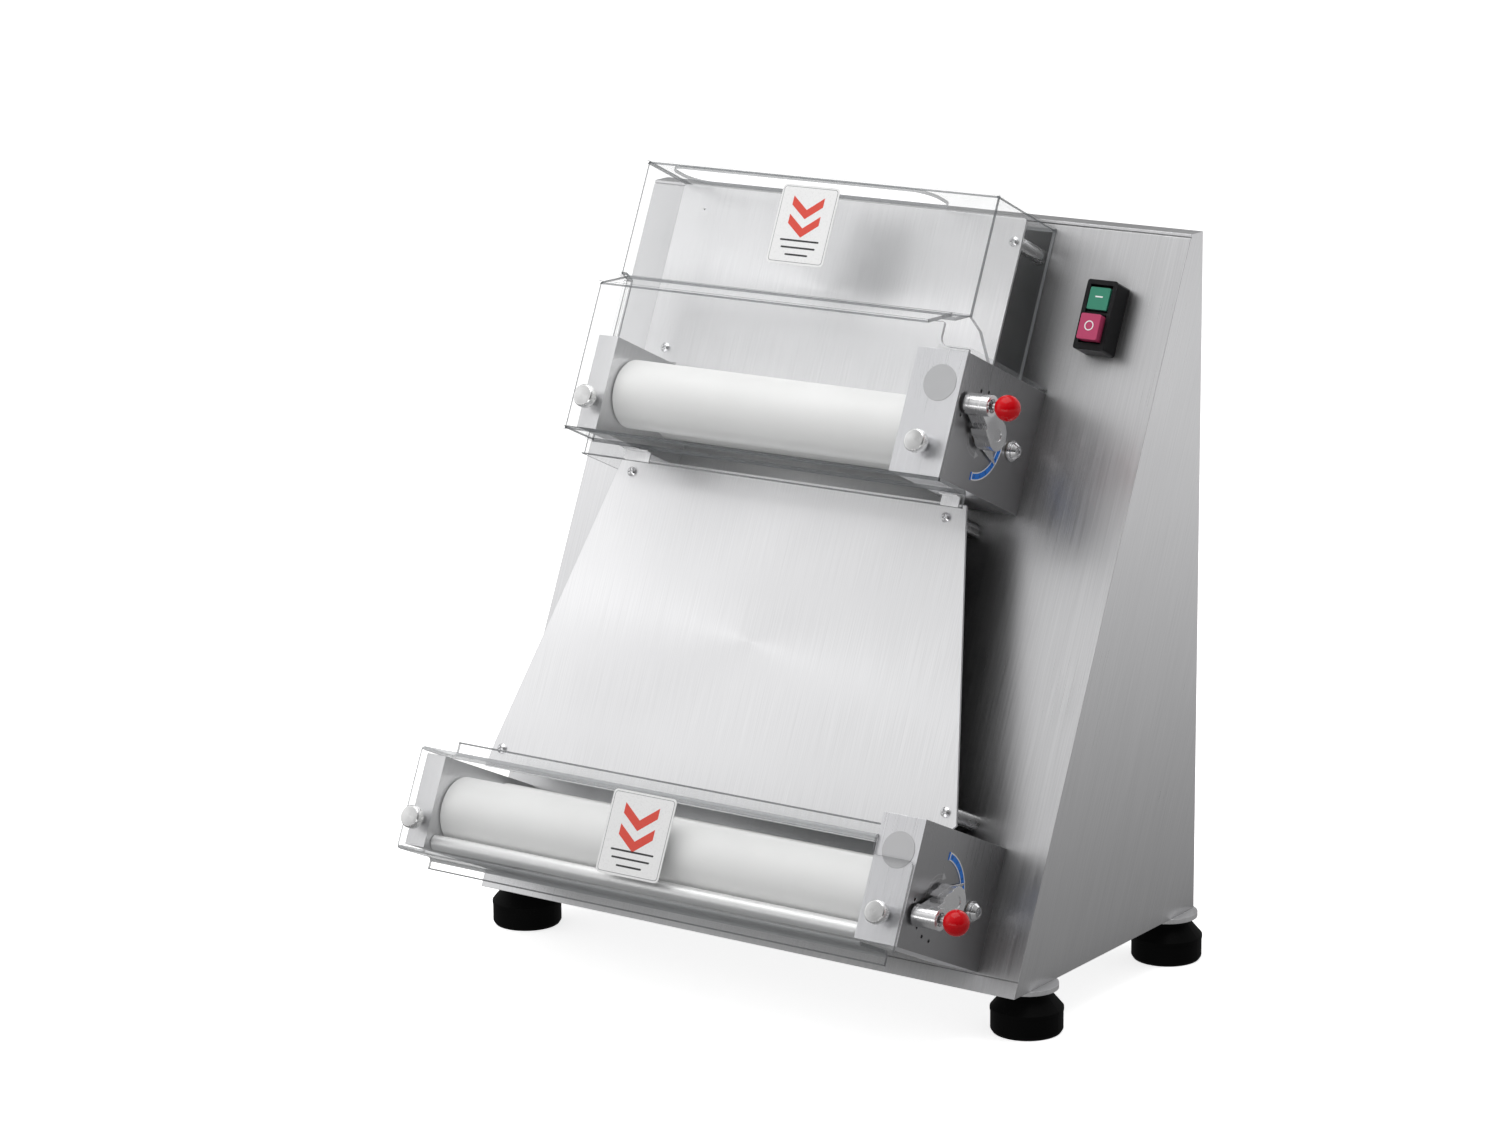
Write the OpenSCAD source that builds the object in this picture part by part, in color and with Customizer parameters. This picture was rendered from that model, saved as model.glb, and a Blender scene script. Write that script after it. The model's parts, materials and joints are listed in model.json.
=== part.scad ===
// Two-stage dough sheeter: wedge cabinet, short upper roller pair, long lower roller pair,
// feed plate, chute, clear guards, thickness levers and a geared, chain-linked drive.
// Face frame used by most parts: X across, Y up the slanted face, Z out of the face.

/* [Cabinet] */
// Cabinet width
body_w = 530; // [500:1:600]
// Cabinet depth at the bottom
body_d = 280; // [260:1:330]
// Depth of the flat top
top_d = 18; // [14:1:40]
// Cabinet height above the feet
body_h = 567; // [550:1:640]
// Cabinet sheet thickness
sheet = 1.5; // [1:0.1:2.5]
// Foot height
foot_h = 40; // [30:1:60]
// Foot radius
foot_r = 29.5; // [22:0.5:34]
// Foot centre from the cabinet's side
foot_in_x = 15; // [10:1:40]
// Front foot centre from the front edge
foot_front_y = 43; // [35:1:60]
// Rear foot centre from the back
foot_rear_y = 18; // [15:1:50]

/* [Rollers] */
// Roller radius
roll_r = 28.5; // [27:0.5:28.5]
// Roller shaft radius
shaft_r = 8; // [6:0.5:9]
// Upper roller bay length
upper_len = 288; // [240:1:320]
// Lower roller bay length
lower_len = 425; // [400:1:430]
// Roller bay centre from the cabinet's middle
bay_x = -25; // [-40:1:-15]
// Upper roller axis below the face's top edge
upper_drop = 205.1; // [195:0.1:240]
// Lower roller axis above the face's bottom edge
lower_s = 53; // [50:0.5:70]
// Rear roller axis out from the face
rear_axis_d = 31.5; // [31:0.5:31.5]
// Rear roller axis above the front one
rear_up = 6; // [0:0.5:8]
// Roller gap as shown
roll_gap = 1.75; // [1.4:0.05:2.5]

/* [Housings] */
// Cheek and gear case depth out of the face
case_d = 126.5; // [124:0.5:140]
// Left cheek thickness
cheek_t = 19.4; // [16:0.2:24]
// Upper gear case width
upper_case_w = 47; // [42:0.5:56]
// Lower gear case width
lower_case_w = 39.5; // [39:0.5:50]
// Gear case reach below the roller axis
case_below = 40; // [38:0.5:44]
// Gear case reach above the roller axis
case_above = 62; // [56:0.5:70]
// Left cheek reach above the roller axis
cheek_above = 39; // [36:0.5:50]
// Gear case sheet thickness
case_t = 2; // [1.5:0.1:3]
// Gear case front sheet thickness
case_front = 1.5; // [1:0.1:1.6]
// Gear case bearing wall thickness
wall_t = 6; // [5:0.5:7]

/* [Levers] */
// Index pin circle radius
index_r = 33.5; // [30:0.5:36]
// Angle between index holes
index_step = 20; // [16:1:22]
// Cam pin offset from the lever axis
cam_e = 3.11; // [2.5:0.01:3.2]
// Lever hub radius
hub_r = 12.5; // [10:0.5:14]
// Plunger boss radius
boss_r = 8.8; // [7:0.1:10]
// Plunger boss reach from the gear case
boss_out = 24; // [20:0.5:30]
// Ball knob radius
ball_r = 10.4; // [8:0.1:13]

/* [Plates] */
// Chute plate height above the face
chute_d = 42; // [36:0.5:46]
// Feed plate height above the face
feed_d = 40; // [36:0.5:44]
// Plate thickness
plate_t = 2; // [1.5:0.1:3]
// Plate spacer radius
spacer_r = 6.5; // [5:0.1:8]
// Screw head radius
screw_r = 4.15; // [3:0.05:5]

/* [Guards] */
// Clear sheet thickness
guard_t = 3; // [2:0.1:4]
// Feed mouth's front rim in the upper guard's top
mouth_rim = 8; // [6:0.5:14]
// Top sheet right of the feed mouth
mouth_right = 71; // [30:1:110]
// Upper hood depth out of the face
hood_d = 96.8; // [92:0.1:104]
// Upper hood top below the face's top edge
hood_drop = 7.2; // [4:0.1:12]
// Thumb knob radius
knob_r = 9.5; // [8:0.1:12]

/* [Fits] */
// Radial clearance of shafts in their bores
run = 0.05; // [0.02:0.01:0.09]
// Clearance beside sliding blocks
slide = 0.2; // [0.1:0.05:0.3]
// Gap between parts that are laid together
seat = 0.3; // [0.2:0.05:0.4]

/* [Hidden] */
$fn = 72;
tilt = atan((body_d - top_d) / body_h);
face_len = sqrt(pow(body_d - top_d, 2) + pow(body_h, 2));
upper_s = face_len - upper_drop;
centre_c = 2 * roll_r + roll_gap;
front_dd = sqrt(centre_c * centre_c - rear_up * rear_up);
front_axis_d = rear_axis_d + front_dd;
pivot_s = 7;                          // lever axis from the front roller axis, up the face
pivot_d = -6.44;                      // lever axis from the front roller axis, out of the face
travel_in = cam_e * (sin(40) - sin(20));
travel_out = cam_e * (sin(40) + sin(20));
teeth = 19;
gear_m = (2 * roll_r + 1) / teeth;
gear_pr = gear_m * teeth / 2;
gear_w = 7;
gear_play = 0.9;
pitch_a = 360 / teeth;
yoke_w = 13;
yoke_hs = 19;
yoke_hd = 16;
block_hs = 12;
block_hd = 14;
knob_d0 = case_d + seat + guard_t;    // outside of a guard's front sheet
knob_stem = 5;
knob_h = 8;
knob_up_s = -16;                      // knob from the roller axis, up the face
y_front = (lower_s + knob_up_s - knob_r + 0.8) * sin(tilt) - (knob_d0 + knob_stem + knob_h) * cos(tilt);
y_back = body_d - foot_rear_y + foot_r;
y_mid = (y_front + y_back) / 2;
counter_c = 2 * gear_pr;
counter_d = rear_axis_d - counter_c;
u_x0 = bay_x - upper_len / 2;
u_x1 = bay_x + upper_len / 2;
l_x0 = bay_x - lower_len / 2;
l_x1 = bay_x + lower_len / 2;
chain_x = u_x1 + 33;
chain_pr = 15;
chain_w = 6;
gx0 = u_x0 - cheek_t - 18;            // upper guard's left side
gx1 = u_x1 + 22.4;                    // upper guard's right side
gxl = u_x0 - cheek_t - 12;            // upper guard's left side below its step
hood_top = face_len - hood_drop;
lgx0 = l_x0 - cheek_t - 6.5;          // lower guard's left side
u_rest = 31;                          // lever angle from the face's normal
u_bot = upper_s - case_below;
l_bot = lower_s - case_below + 2;
skirt_d = 88;
foot_x = body_w / 2 - foot_in_x;
chute_top = u_bot - 5;
chute_half0 = upper_len / 2 + 26;    // chute plate's half width at its top
chute_half1 = lower_len / 2 + 16.5;  // and at its foot
chute_low = lower_s + case_above + 2.5;
feed_right = gx1 - guard_t - 1;
feed_left = gx0 + guard_t + 1;
feed_top = hood_top - guard_t - 1;
feed_low = upper_s + 35.5;
sw_x = 207;
sw_s = face_len - 78.5;

module face() translate([0, -y_mid, foot_h]) rotate([90 - tilt, 0, 0]) children();
module bx(x0, x1, s0, s1, d0, d1)
  translate([x0, s0, d0]) cube([x1 - x0, s1 - s0, d1 - d0]);
module rod(x0, x1, s, d, r) translate([x0, s, d]) rotate([0, 90, 0]) cylinder(h = x1 - x0, r = r);
module cone(x0, x1, s, d, r0, r1)
  translate([x0, s, d]) rotate([0, 90, 0]) cylinder(h = x1 - x0, r1 = r0, r2 = r1);
module post(x, s, d0, d1, r) translate([x, s, d0]) cylinder(h = d1 - d0, r = r);
module prism(x0, x1) translate([x0, 0, 0]) rotate([90, 0, 90]) linear_extrude(x1 - x0) children();
module plate(d0, d1) translate([0, 0, d0]) linear_extrude(d1 - d0) children();
module rbox2(x0, x1, y0, y1, r) {
  translate([x0 + r, y0]) square([x1 - x0 - 2 * r, y1 - y0]);
  translate([x0, y0 + r]) square([x1 - x0, y1 - y0 - 2 * r]);
  for (x = [x0 + r, x1 - r], y = [y0 + r, y1 - r]) translate([x, y]) circle(r = r);
}
module world() translate([0, -y_mid, foot_h]) children();

// gear outline with involute flanks; a tooth is centred on the first axis
function inv_a(rb, r) = let (q = sqrt(max(0, r * r / (rb * rb) - 1))) (q * 180 / PI - atan(q));
module gear2(phase) {
  rb = gear_pr * cos(20);
  ra = gear_pr + 0.9 * gear_m;
  rf = gear_pr - 1.25 * gear_m;
  half = 90 / teeth - gear_play / 2 / gear_pr * 180 / PI;
  rs = [rf, rb, gear_pr - 0.4 * gear_m, gear_pr, gear_pr + 0.4 * gear_m, gear_pr + 0.7 * gear_m, ra];
  function ha(r) = half + inv_a(rb, gear_pr) - inv_a(rb, max(r, rb));
  polygon([for (t = [0:teeth - 1]) each concat(
    [for (i = [0:6]) let (a = phase + t * pitch_a - ha(rs[i])) [rs[i] * cos(a), rs[i] * sin(a)]],
    [for (i = [6:-1:0]) let (a = phase + t * pitch_a + ha(rs[i])) [rs[i] * cos(a), rs[i] * sin(a)]])]);
}
module gear(x0, s, d, phase, bore) prism(x0, x0 + gear_w) translate([s, d]) difference() {
  gear2(phase);
  circle(r = bore);
}
module sprocket2() {
  circle(r = chain_pr - 2.5);
  for (a = [0:24:336]) rotate(a) polygon([[9, -1.7], [chain_pr, -0.7], [chain_pr, 0.7], [9, 1.7]]);
}
front_ang = atan2(front_dd, -rear_up);
p_rear = 90;
p_front = 2 * front_ang + 180 - p_rear + pitch_a / 2;
p_count = 2 * (-90) + 180 - p_rear + pitch_a / 2;

// ---- cabinet
module cabinet_shell() color([0.74, 0.75, 0.76]) {
  world() difference() {
    prism(-body_w / 2, body_w / 2)
      polygon([[0, 0], [body_d, 0], [body_d, body_h], [body_d - top_d, body_h]]);
    prism(-body_w / 2 + sheet, body_w / 2 - sheet)
      polygon([[sheet / cos(tilt) - tan(tilt), -1], [body_d + 1, -1], [body_d + 1, body_h - sheet],
        [(body_h - sheet) * tan(tilt) + sheet / cos(tilt), body_h - sheet]]);
    rotate([90 - tilt, 0, 0]) {
      bx(-body_w, body_w, face_len - 3.4, face_len - 2.2, -0.9, 1);
      bx(-body_w, body_w, 13, 14, -0.6, 1);
      drive_window(u_x1, upper_s);
      drive_window(l_x1, lower_s);
      bx(sw_x - 10.3, sw_x + 10.3, sw_s - 20.3, sw_s + 20.3, -3, 1);
    }
  }
  // return flanges that carry the back cover
  world() for (m = [-1, 1]) scale([m, 1, 1])
    translate([body_w / 2 - sheet - 14, body_d - 2.8 - sheet, 40]) cube([14.2, sheet, body_h - 60]);
}
module drive_window(x1, s) bx(x1 + wall_t + 0.5, x1 + wall_t + 4 + gear_w,
  s + rear_up - 24, s + rear_up + 24, -4, 2);
module base_plate() color([0.6, 0.6, 0.61]) world() difference() {
  prism(-body_w / 2 + sheet + seat, body_w / 2 - sheet - seat)
    polygon([[2.6, 0], [body_d - 3, 0], [body_d - 3, 2], [3.6, 2]]);
  for (x = [-foot_x + 6, foot_x - 6], y = [foot_front_y, body_d - foot_rear_y - 6])
    translate([x, y, -1]) cylinder(h = 5, r = 4.2);
  for (x = [-120:30:60]) translate([x, 150, -1]) cylinder(h = 5, r = 5);
}
module back_cover() color([0.7, 0.71, 0.72]) world() difference() {
  union() {
    translate([-body_w / 2 + sheet + seat, body_d - 2.5, 0.5])
      cube([body_w - 2 * sheet - 2 * seat, sheet, body_h - sheet - 1]);
    for (z = [110:16:206], x = [-110, 110])
      translate([x - 45, body_d - 1.2, z]) cube([90, 2.4, 3]);
  }
  for (z = [110:16:206], x = [-110, 110])
    translate([x - 45, body_d - 6, z - 6]) cube([90, 8, 6]);
  translate([-190, body_d - 5, 60]) rotate([-90, 0, 0]) cylinder(h = 9, r = 8.2);
}
module cable_gland() color([0.08, 0.08, 0.08]) world() translate([-190, body_d - 2.5, 60])
  rotate([-90, 0, 0]) difference() {
    union() {
      translate([0, 0, -6]) cylinder(h = 9, r = 8);
      translate([0, 0, sheet + 0.1]) cylinder(h = 4, r = 12, $fn = 6);
      translate([0, 0, sheet + 4]) cylinder(h = 5, r = 9.5);
      translate([0, 0, -7.5]) cylinder(h = 7.2, r = 12, $fn = 6);
    }
    translate([0, 0, -10]) cylinder(h = 30, r = 4);
  }
module at_feet() world() for (x = [-foot_x, foot_x], y = [foot_front_y, body_d - foot_rear_y])
  translate([x, y, 0]) children();
module rubber_feet() color([0.05, 0.05, 0.05]) at_feet() translate([0, 0, -foot_h]) difference() {
  union() {
    cylinder(h = 2.5, r1 = foot_r - 2, r2 = foot_r - 0.4);
    translate([0, 0, 2.5]) cylinder(h = foot_h * 0.42, r = foot_r - 0.4);
    translate([0, 0, foot_h * 0.42 + 1]) cylinder(h = 2.4, r = foot_r);
    translate([0, 0, foot_h * 0.42 + 3.4]) cylinder(h = foot_h * 0.28, r1 = foot_r, r2 = foot_r * 0.68);
    translate([0, 0, foot_h * 0.7 + 3.4]) cylinder(h = foot_h * 0.3 - 7.4, r = foot_r * 0.68);
  }
  translate([0, 0, -1]) cylinder(h = 8, r = 9);
  translate([0, 0, -1]) cylinder(h = foot_h, r = 4.1);
}
module foot_plates() color([0.8, 0.8, 0.81]) at_feet() translate([0, 0, -4]) difference() {
  cylinder(h = 4, r = foot_r * 0.86);
  translate([0, 0, -1]) cylinder(h = 6, r = 4.1);
}
module foot_bolts() color([0.55, 0.55, 0.56]) at_feet() {
  translate([0, 0, -foot_h + 7]) cylinder(h = foot_h - 7.2, r = 4);
  translate([0, 0, -foot_h + 2]) cylinder(h = 5, r = 6.5, $fn = 6);
}

// ---- switch
module switch_housing() color([0.03, 0.03, 0.03]) face() difference() {
  union() {
    plate(seat, 14) rbox2(sw_x - 14, sw_x + 14, sw_s - 29, sw_s + 29, 2.5);
    plate(14, 20) difference() {
      rbox2(sw_x - 14, sw_x + 14, sw_s - 29, sw_s + 29, 2.5);
      translate([sw_x - 10.2, sw_s - 23.5]) square([20.4, 48.5]);
    }
    bx(sw_x - 10.2, sw_x + 10.2, sw_s + 0.6, sw_s + 3, 14, 18.5);
    bx(sw_x - 10, sw_x + 10, sw_s - 20, sw_s + 20, -22, seat);
  }
  bx(sw_x - 6, sw_x + 6, sw_s + 6, sw_s + 21, 8, 15);
  bx(sw_x - 6, sw_x + 6, sw_s - 19, sw_s - 4, 8, 15);
}
module start_button() color([0.2, 0.55, 0.42]) face() union() {
  plate(16.8, 20.8) rbox2(sw_x - 9.2, sw_x + 9.2, sw_s + 4.2, sw_s + 22.6, 1.2);
  bx(sw_x - 5, sw_x + 5, sw_s + 7, sw_s + 20, 11, 17);
}
module stop_button() color([0.72, 0.16, 0.24]) face() union() {
  plate(16.8, 26) rbox2(sw_x - 9.2, sw_x + 9.2, sw_s - 21.8, sw_s - 0.6, 1.6);
  bx(sw_x - 5, sw_x + 5, sw_s - 18, sw_s - 5, 11, 17);
}

// ---- plates on spacers
chute_pts = [[bay_x - chute_half0 + 12, chute_top - 12], [bay_x + chute_half0 - 16, chute_top - 12],
  [l_x1 + 4, chute_low + 13], [l_x0 - 8, lower_s + cheek_above + 22]];
feed_pts = [[feed_right - 7, feed_top - 20], [feed_left + 21, feed_low + 16.5]];
feed_weld = [feed_left + 26, feed_top - 20];
module chute2() difference() {
  polygon([[bay_x - chute_half0, chute_top], [bay_x + chute_half0, chute_top],
    [bay_x + chute_half1, chute_low + 4], [bay_x + chute_half1 - 4, chute_low],
    [l_x1 - 2, chute_low], [l_x1 - 2, lower_s + cheek_above + 5],
    [l_x0 - 21, lower_s + cheek_above + 5], [bay_x - chute_half1, chute_low + 4]]);
  for (p = chute_pts) translate(p) circle(r = 2.2);
}
module chute_plate() color([0.82, 0.82, 0.83]) face() plate(chute_d, chute_d + plate_t) chute2();
module feed_plate() color([0.82, 0.82, 0.83]) face() plate(feed_d, feed_d + plate_t) difference() {
  polygon([[feed_left, upper_s + cheek_above + 1.5], [u_x0 + 2, upper_s + cheek_above + 1.5],
    [u_x0 + 2, feed_low], [u_x1 - 2, feed_low], [u_x1 - 2, upper_s + case_above + 5],
    [feed_right, upper_s + case_above + 5], [feed_right, feed_top - 2], [feed_right - 2, feed_top],
    [feed_left + 2, feed_top], [feed_left, feed_top - 2]]);
  for (p = feed_pts) translate(p) circle(r = 2.2);
  translate(feed_weld) circle(r = 0.9);
}
module plate_spacers() color([0.78, 0.78, 0.79]) face() {
  for (p = chute_pts) difference() {
    post(p[0], p[1], 0, chute_d, spacer_r);
    post(p[0], p[1], chute_d - 12, chute_d + 1, 2.1);
  }
  for (p = feed_pts) difference() {
    post(p[0], p[1], 0, feed_d, spacer_r);
    post(p[0], p[1], feed_d - 12, feed_d + 1, 2.1);
  }
  post(feed_weld[0], feed_weld[1], 0, feed_d, spacer_r);
}
module pan_screw(p, d) difference() {
  union() {
    post(p[0], p[1], d - 11, d + 0.2, 2);
    post(p[0], p[1], d, d + 1.2, screw_r);
    translate([p[0], p[1], d + 1.2]) cylinder(h = 1.3, r1 = screw_r, r2 = screw_r * 0.55);
  }
  for (a = [20, 110]) translate([p[0], p[1], d + 2]) rotate(a) cube([4.4, 0.9, 1.6], center = true);
}
module plate_screws() color([0.5, 0.5, 0.52]) face() {
  for (p = chute_pts) pan_screw(p, chute_d + plate_t);
  for (p = feed_pts) pan_screw(p, feed_d + plate_t);
}

// ---- roller units: c0 = roller axis, x0 and x1 = bay ends, w = gear case width
module index_holes(x, c, m, r) for (i = [0:4])
  rod(x - case_t - 1, x + 1, c + pivot_s + m * index_r * sin(u_rest + (i - 1) * index_step),
    front_axis_d + pivot_d + index_r * cos(u_rest + (i - 1) * index_step), r);
module slot_box(x0, x1, c, hs, hd) bx(x0, x1, c - hs - slide, c + hs + slide,
  front_axis_d - hd - travel_in - 2 * slide, front_axis_d + hd + travel_out + 2 * slide);
module left_cheek(x, c, rods) difference() {
  bx(x - cheek_t, x, c - case_below + (rods ? 2 : 0), c + cheek_above, 0, case_d);
  slot_box(x - 12.5, x + 1, c, block_hs, block_hd);
  rod(x - 14, x + 1, c + rear_up, rear_axis_d, shaft_r + 3);
  post(x - cheek_t / 2, c + knob_up_s, case_d - 14, case_d + 1, 2.6);
  if (rods) rod(x - 10, x + 1, rod_s, rod_d, 4 + run);
}
module gear_case(x0, w, c, m, low, rods) {
  x1 = x0 + w;
  difference() {
    bx(x0, x1, c - case_below + low, c + case_above, 0, case_d);
    bx(x0 + wall_t, x1 - case_t, c - case_below + low + case_t, c + case_above - case_t,
      -1, case_d - case_front);
    slot_box(x0 - 1, x0 + wall_t + 1, c, block_hs, block_hd);
    rod(x0 - 1, x0 + wall_t + 1, c + rear_up, rear_axis_d, shaft_r + 3);
    rod(x1 - case_t - 1, x1 + 1, c + rear_up, rear_axis_d, 8);
    rod(x1 - case_t - 1, x1 + 1, c + pivot_s, front_axis_d + pivot_d, 8);
    index_holes(x1, c, m, 1.6);
    post(x0 + w * 0.56, c + knob_up_s, case_d - 14, case_d + 1, 2.6);
    if (rods) rod(x0 - 1, x0 + wall_t + 1, rod_s, rod_d, 4 + run);
  }
  difference() {
    post(x0 + w * 0.56, c + knob_up_s, case_d - 12, case_d - case_front + 0.1, 5);
    post(x0 + w * 0.56, c + knob_up_s, case_d - 14, case_d + 1, 2.6);
  }
  for (s = [-yoke_hs - slide - 4, yoke_hs + slide])
    bx(x0 + wall_t + 2.6 + gear_w, x1 - case_t + 0.1, c + s, c + s + 4,
      front_axis_d - yoke_hd, front_axis_d + yoke_hd + 4);
}
rod_s = lower_s - 31;
rod_d = front_axis_d + 23.5;
module upper_case() color([0.72, 0.73, 0.74]) face() gear_case(u_x1, upper_case_w, upper_s, 1, 0, false);
module lower_case() color([0.72, 0.73, 0.74]) face() gear_case(l_x1, lower_case_w, lower_s, -1, 2, true);
module upper_cheek() color([0.7, 0.71, 0.72]) face() left_cheek(u_x0, upper_s, false);
module lower_cheek() color([0.7, 0.71, 0.72]) face() left_cheek(l_x0, lower_s, true);
module bush(x0, x1, s, d, ri, ro) difference() {
  rod(x0, x1, s, d, ro);
  rod(x0 - 1, x1 + 1, s, d, ri);
}
module unit_bushes(x0, x1, w, c) {
  bush(x0 - 13.5, x0 - 0.2, c + rear_up, rear_axis_d, shaft_r + run, shaft_r + 2.95);
  bush(x1 + 0.2, x1 + wall_t, c + rear_up, rear_axis_d, shaft_r + run, shaft_r + 2.95);
  bush(x1 + w - case_t - 3, x1 + w + 0.3, c + rear_up, rear_axis_d, 5 + run, 7.95);
  bush(x1 + w - case_t - 1.2, x1 + w + 1, c + pivot_s, front_axis_d + pivot_d, 5 + run, 7.95);
}
module shaft_bushes() color([0.72, 0.58, 0.3]) face() {
  unit_bushes(u_x0, u_x1, upper_case_w, upper_s);
  unit_bushes(l_x0, l_x1, lower_case_w, lower_s);
}
module case_plugs() color([0.68, 0.68, 0.69]) face() {
  post(u_x1 + upper_case_w * 0.59, upper_s + 35, case_d, case_d + 0.25, 15);
  post(l_x1 + lower_case_w * 0.53, lower_s + 35, case_d, case_d + 0.25, 14.6);
}
module scale_arc(x, c, m) prism(x, x + 0.4) translate([c + pivot_s, front_axis_d + pivot_d])
  scale([m, 1]) intersection() {
    difference() {
      circle(r = 37.6);
      circle(r = 31.2);
    }
    rotate(176) square([60, 60]);
    rotate(182) square([60, 60]);
  }
module upper_scale() color([0.06, 0.32, 0.75]) face()
  scale_arc(u_x1 + upper_case_w, upper_s, 1);
module lower_scale() color([0.06, 0.32, 0.75]) face()
  scale_arc(l_x1 + lower_case_w, lower_s, -1);

// ---- rollers
module roller(x0, x1, s, d) difference() {
  union() {
    rod(x0 + 1.6, x1 - 1.6, s, d, roll_r);
    cone(x0 + 0.8, x0 + 1.6, s, d, roll_r - 0.8, roll_r);
    cone(x1 - 1.6, x1 - 0.8, s, d, roll_r, roll_r - 0.8);
  }
  rod(x0 - 1, x1 + 1, s, d, shaft_r + run);
}
module rear_shaft(x0, x1, w, s) difference() {
  union() {
    rod(x0 - 13, x1 + w - case_t - 4, s, rear_axis_d, shaft_r);
    rod(x1 + w - case_t - 5, x1 + w + 0.6, s, rear_axis_d, 5);
    rod(x1 + w + 0.6, x1 + w + 2.2, s, rear_axis_d, 8.5);
    rod(x1 + w + 2.2, x1 + w + 4.4, s, rear_axis_d, 7);
    cone(x1 + w + 4.4, x1 + w + 7.4, s, rear_axis_d, 7, 4.6);
  }
  translate([x1 + w + 3.6, s, rear_axis_d]) rotate([0, 90, 0]) cylinder(h = 5, r = 3.3, $fn = 6);
}
module front_shaft(x0, x1, s) rod(x0 - 11.5, x1 + wall_t + 10 + gear_w, s, front_axis_d, shaft_r);
module bearing_blocks(x0, x1, s) {
  difference() {
    bx(x0 - 12, x0 - 0.2, s - block_hs, s + block_hs, front_axis_d - block_hd, front_axis_d + block_hd);
    rod(x0 - 13, x0 + 1, s, front_axis_d, shaft_r + run);
  }
  difference() {
    bx(x1 + 0.2, x1 + wall_t, s - block_hs, s + block_hs, front_axis_d - block_hd, front_axis_d + block_hd);
    rod(x1 - 1, x1 + wall_t + 1, s, front_axis_d, shaft_r + run);
  }
}
module yoke(x1, s, m) {
  x = x1 + wall_t + 3 + gear_w;
  difference() {
    bx(x, x + yoke_w, s - yoke_hs, s + yoke_hs, front_axis_d - yoke_hd, front_axis_d + yoke_hd);
    rod(x - 1, x + 7.5, s, front_axis_d, shaft_r + run);
    bx(x + 8.5, x + yoke_w + 1, s + pivot_s - (m > 0 ? 8.5 : 1.5), s + pivot_s + (m > 0 ? 1.5 : 8.5) ,
      front_axis_d + pivot_d - cam_e * sin(20) - 3.2, front_axis_d + pivot_d - cam_e * sin(20) + 3.2);
  }
}
// cam pin at rest: 20 degrees before square to the roller's travel
module cam_shaft(x1, w, c, m) {
  x = x1 + wall_t + 3 + gear_w + yoke_w;
  rod(x - 4, x + 2, c + pivot_s - m * cam_e * cos(20),
    front_axis_d + pivot_d - cam_e * sin(20), 3);
  rod(x + 1, x + 3.5, c + pivot_s, front_axis_d + pivot_d, 10);
  rod(x + 3.5, x1 + w - case_t - 1.6, c + pivot_s, front_axis_d + pivot_d, 7);
  rod(x + 3.5, x1 + w + 17, c + pivot_s, front_axis_d + pivot_d, 5);
}
module upper_rear_roller() color([0.93, 0.93, 0.92]) face()
  roller(u_x0, u_x1, upper_s + rear_up, rear_axis_d);
module upper_front_roller() color([0.93, 0.93, 0.92]) face()
  roller(u_x0, u_x1, upper_s, front_axis_d);
module lower_rear_roller() color([0.93, 0.93, 0.92]) face()
  roller(l_x0, l_x1, lower_s + rear_up, rear_axis_d);
module lower_front_roller() color([0.93, 0.93, 0.92]) face()
  roller(l_x0, l_x1, lower_s, front_axis_d);
module upper_rear_shaft() color([0.6, 0.6, 0.62]) face()
  rear_shaft(u_x0, u_x1, upper_case_w, upper_s + rear_up);
module lower_rear_shaft() color([0.6, 0.6, 0.62]) face()
  rear_shaft(l_x0, l_x1, lower_case_w, lower_s + rear_up);
module upper_front_shaft() color([0.6, 0.6, 0.62]) face() front_shaft(u_x0, u_x1, upper_s);
module lower_front_shaft() color([0.6, 0.6, 0.62]) face() front_shaft(l_x0, l_x1, lower_s);
module upper_rear_gear() color([0.5, 0.5, 0.5]) face()
  gear(u_x1 + wall_t + 1.5, upper_s + rear_up, rear_axis_d, p_rear, shaft_r + run);
module lower_rear_gear() color([0.5, 0.5, 0.5]) face()
  gear(l_x1 + wall_t + 1.5, lower_s + rear_up, rear_axis_d, p_rear, shaft_r + run);
module upper_front_gear() color([0.5, 0.5, 0.5]) face()
  gear(u_x1 + wall_t + 1.5, upper_s, front_axis_d, p_front, shaft_r + run);
module lower_front_gear() color([0.5, 0.5, 0.5]) face()
  gear(l_x1 + wall_t + 1.5, lower_s, front_axis_d, p_front, shaft_r + run);
module upper_blocks() color([0.66, 0.52, 0.28]) face() bearing_blocks(u_x0, u_x1, upper_s);
module lower_blocks() color([0.66, 0.52, 0.28]) face() bearing_blocks(l_x0, l_x1, lower_s);
module upper_yoke() color([0.58, 0.58, 0.6]) face() yoke(u_x1, upper_s, 1);
module lower_yoke() color([0.58, 0.58, 0.6]) face() yoke(l_x1, lower_s, -1);
module lower_guide_rod() color([0.9, 0.9, 0.9]) face() union() {
  rod(l_x0 - 9, l_x1 + wall_t - 0.5, rod_s, rod_d, 4);
  rod(l_x0 + 0.6, l_x1 - 0.6, rod_s, rod_d, 6.4);
}

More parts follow.
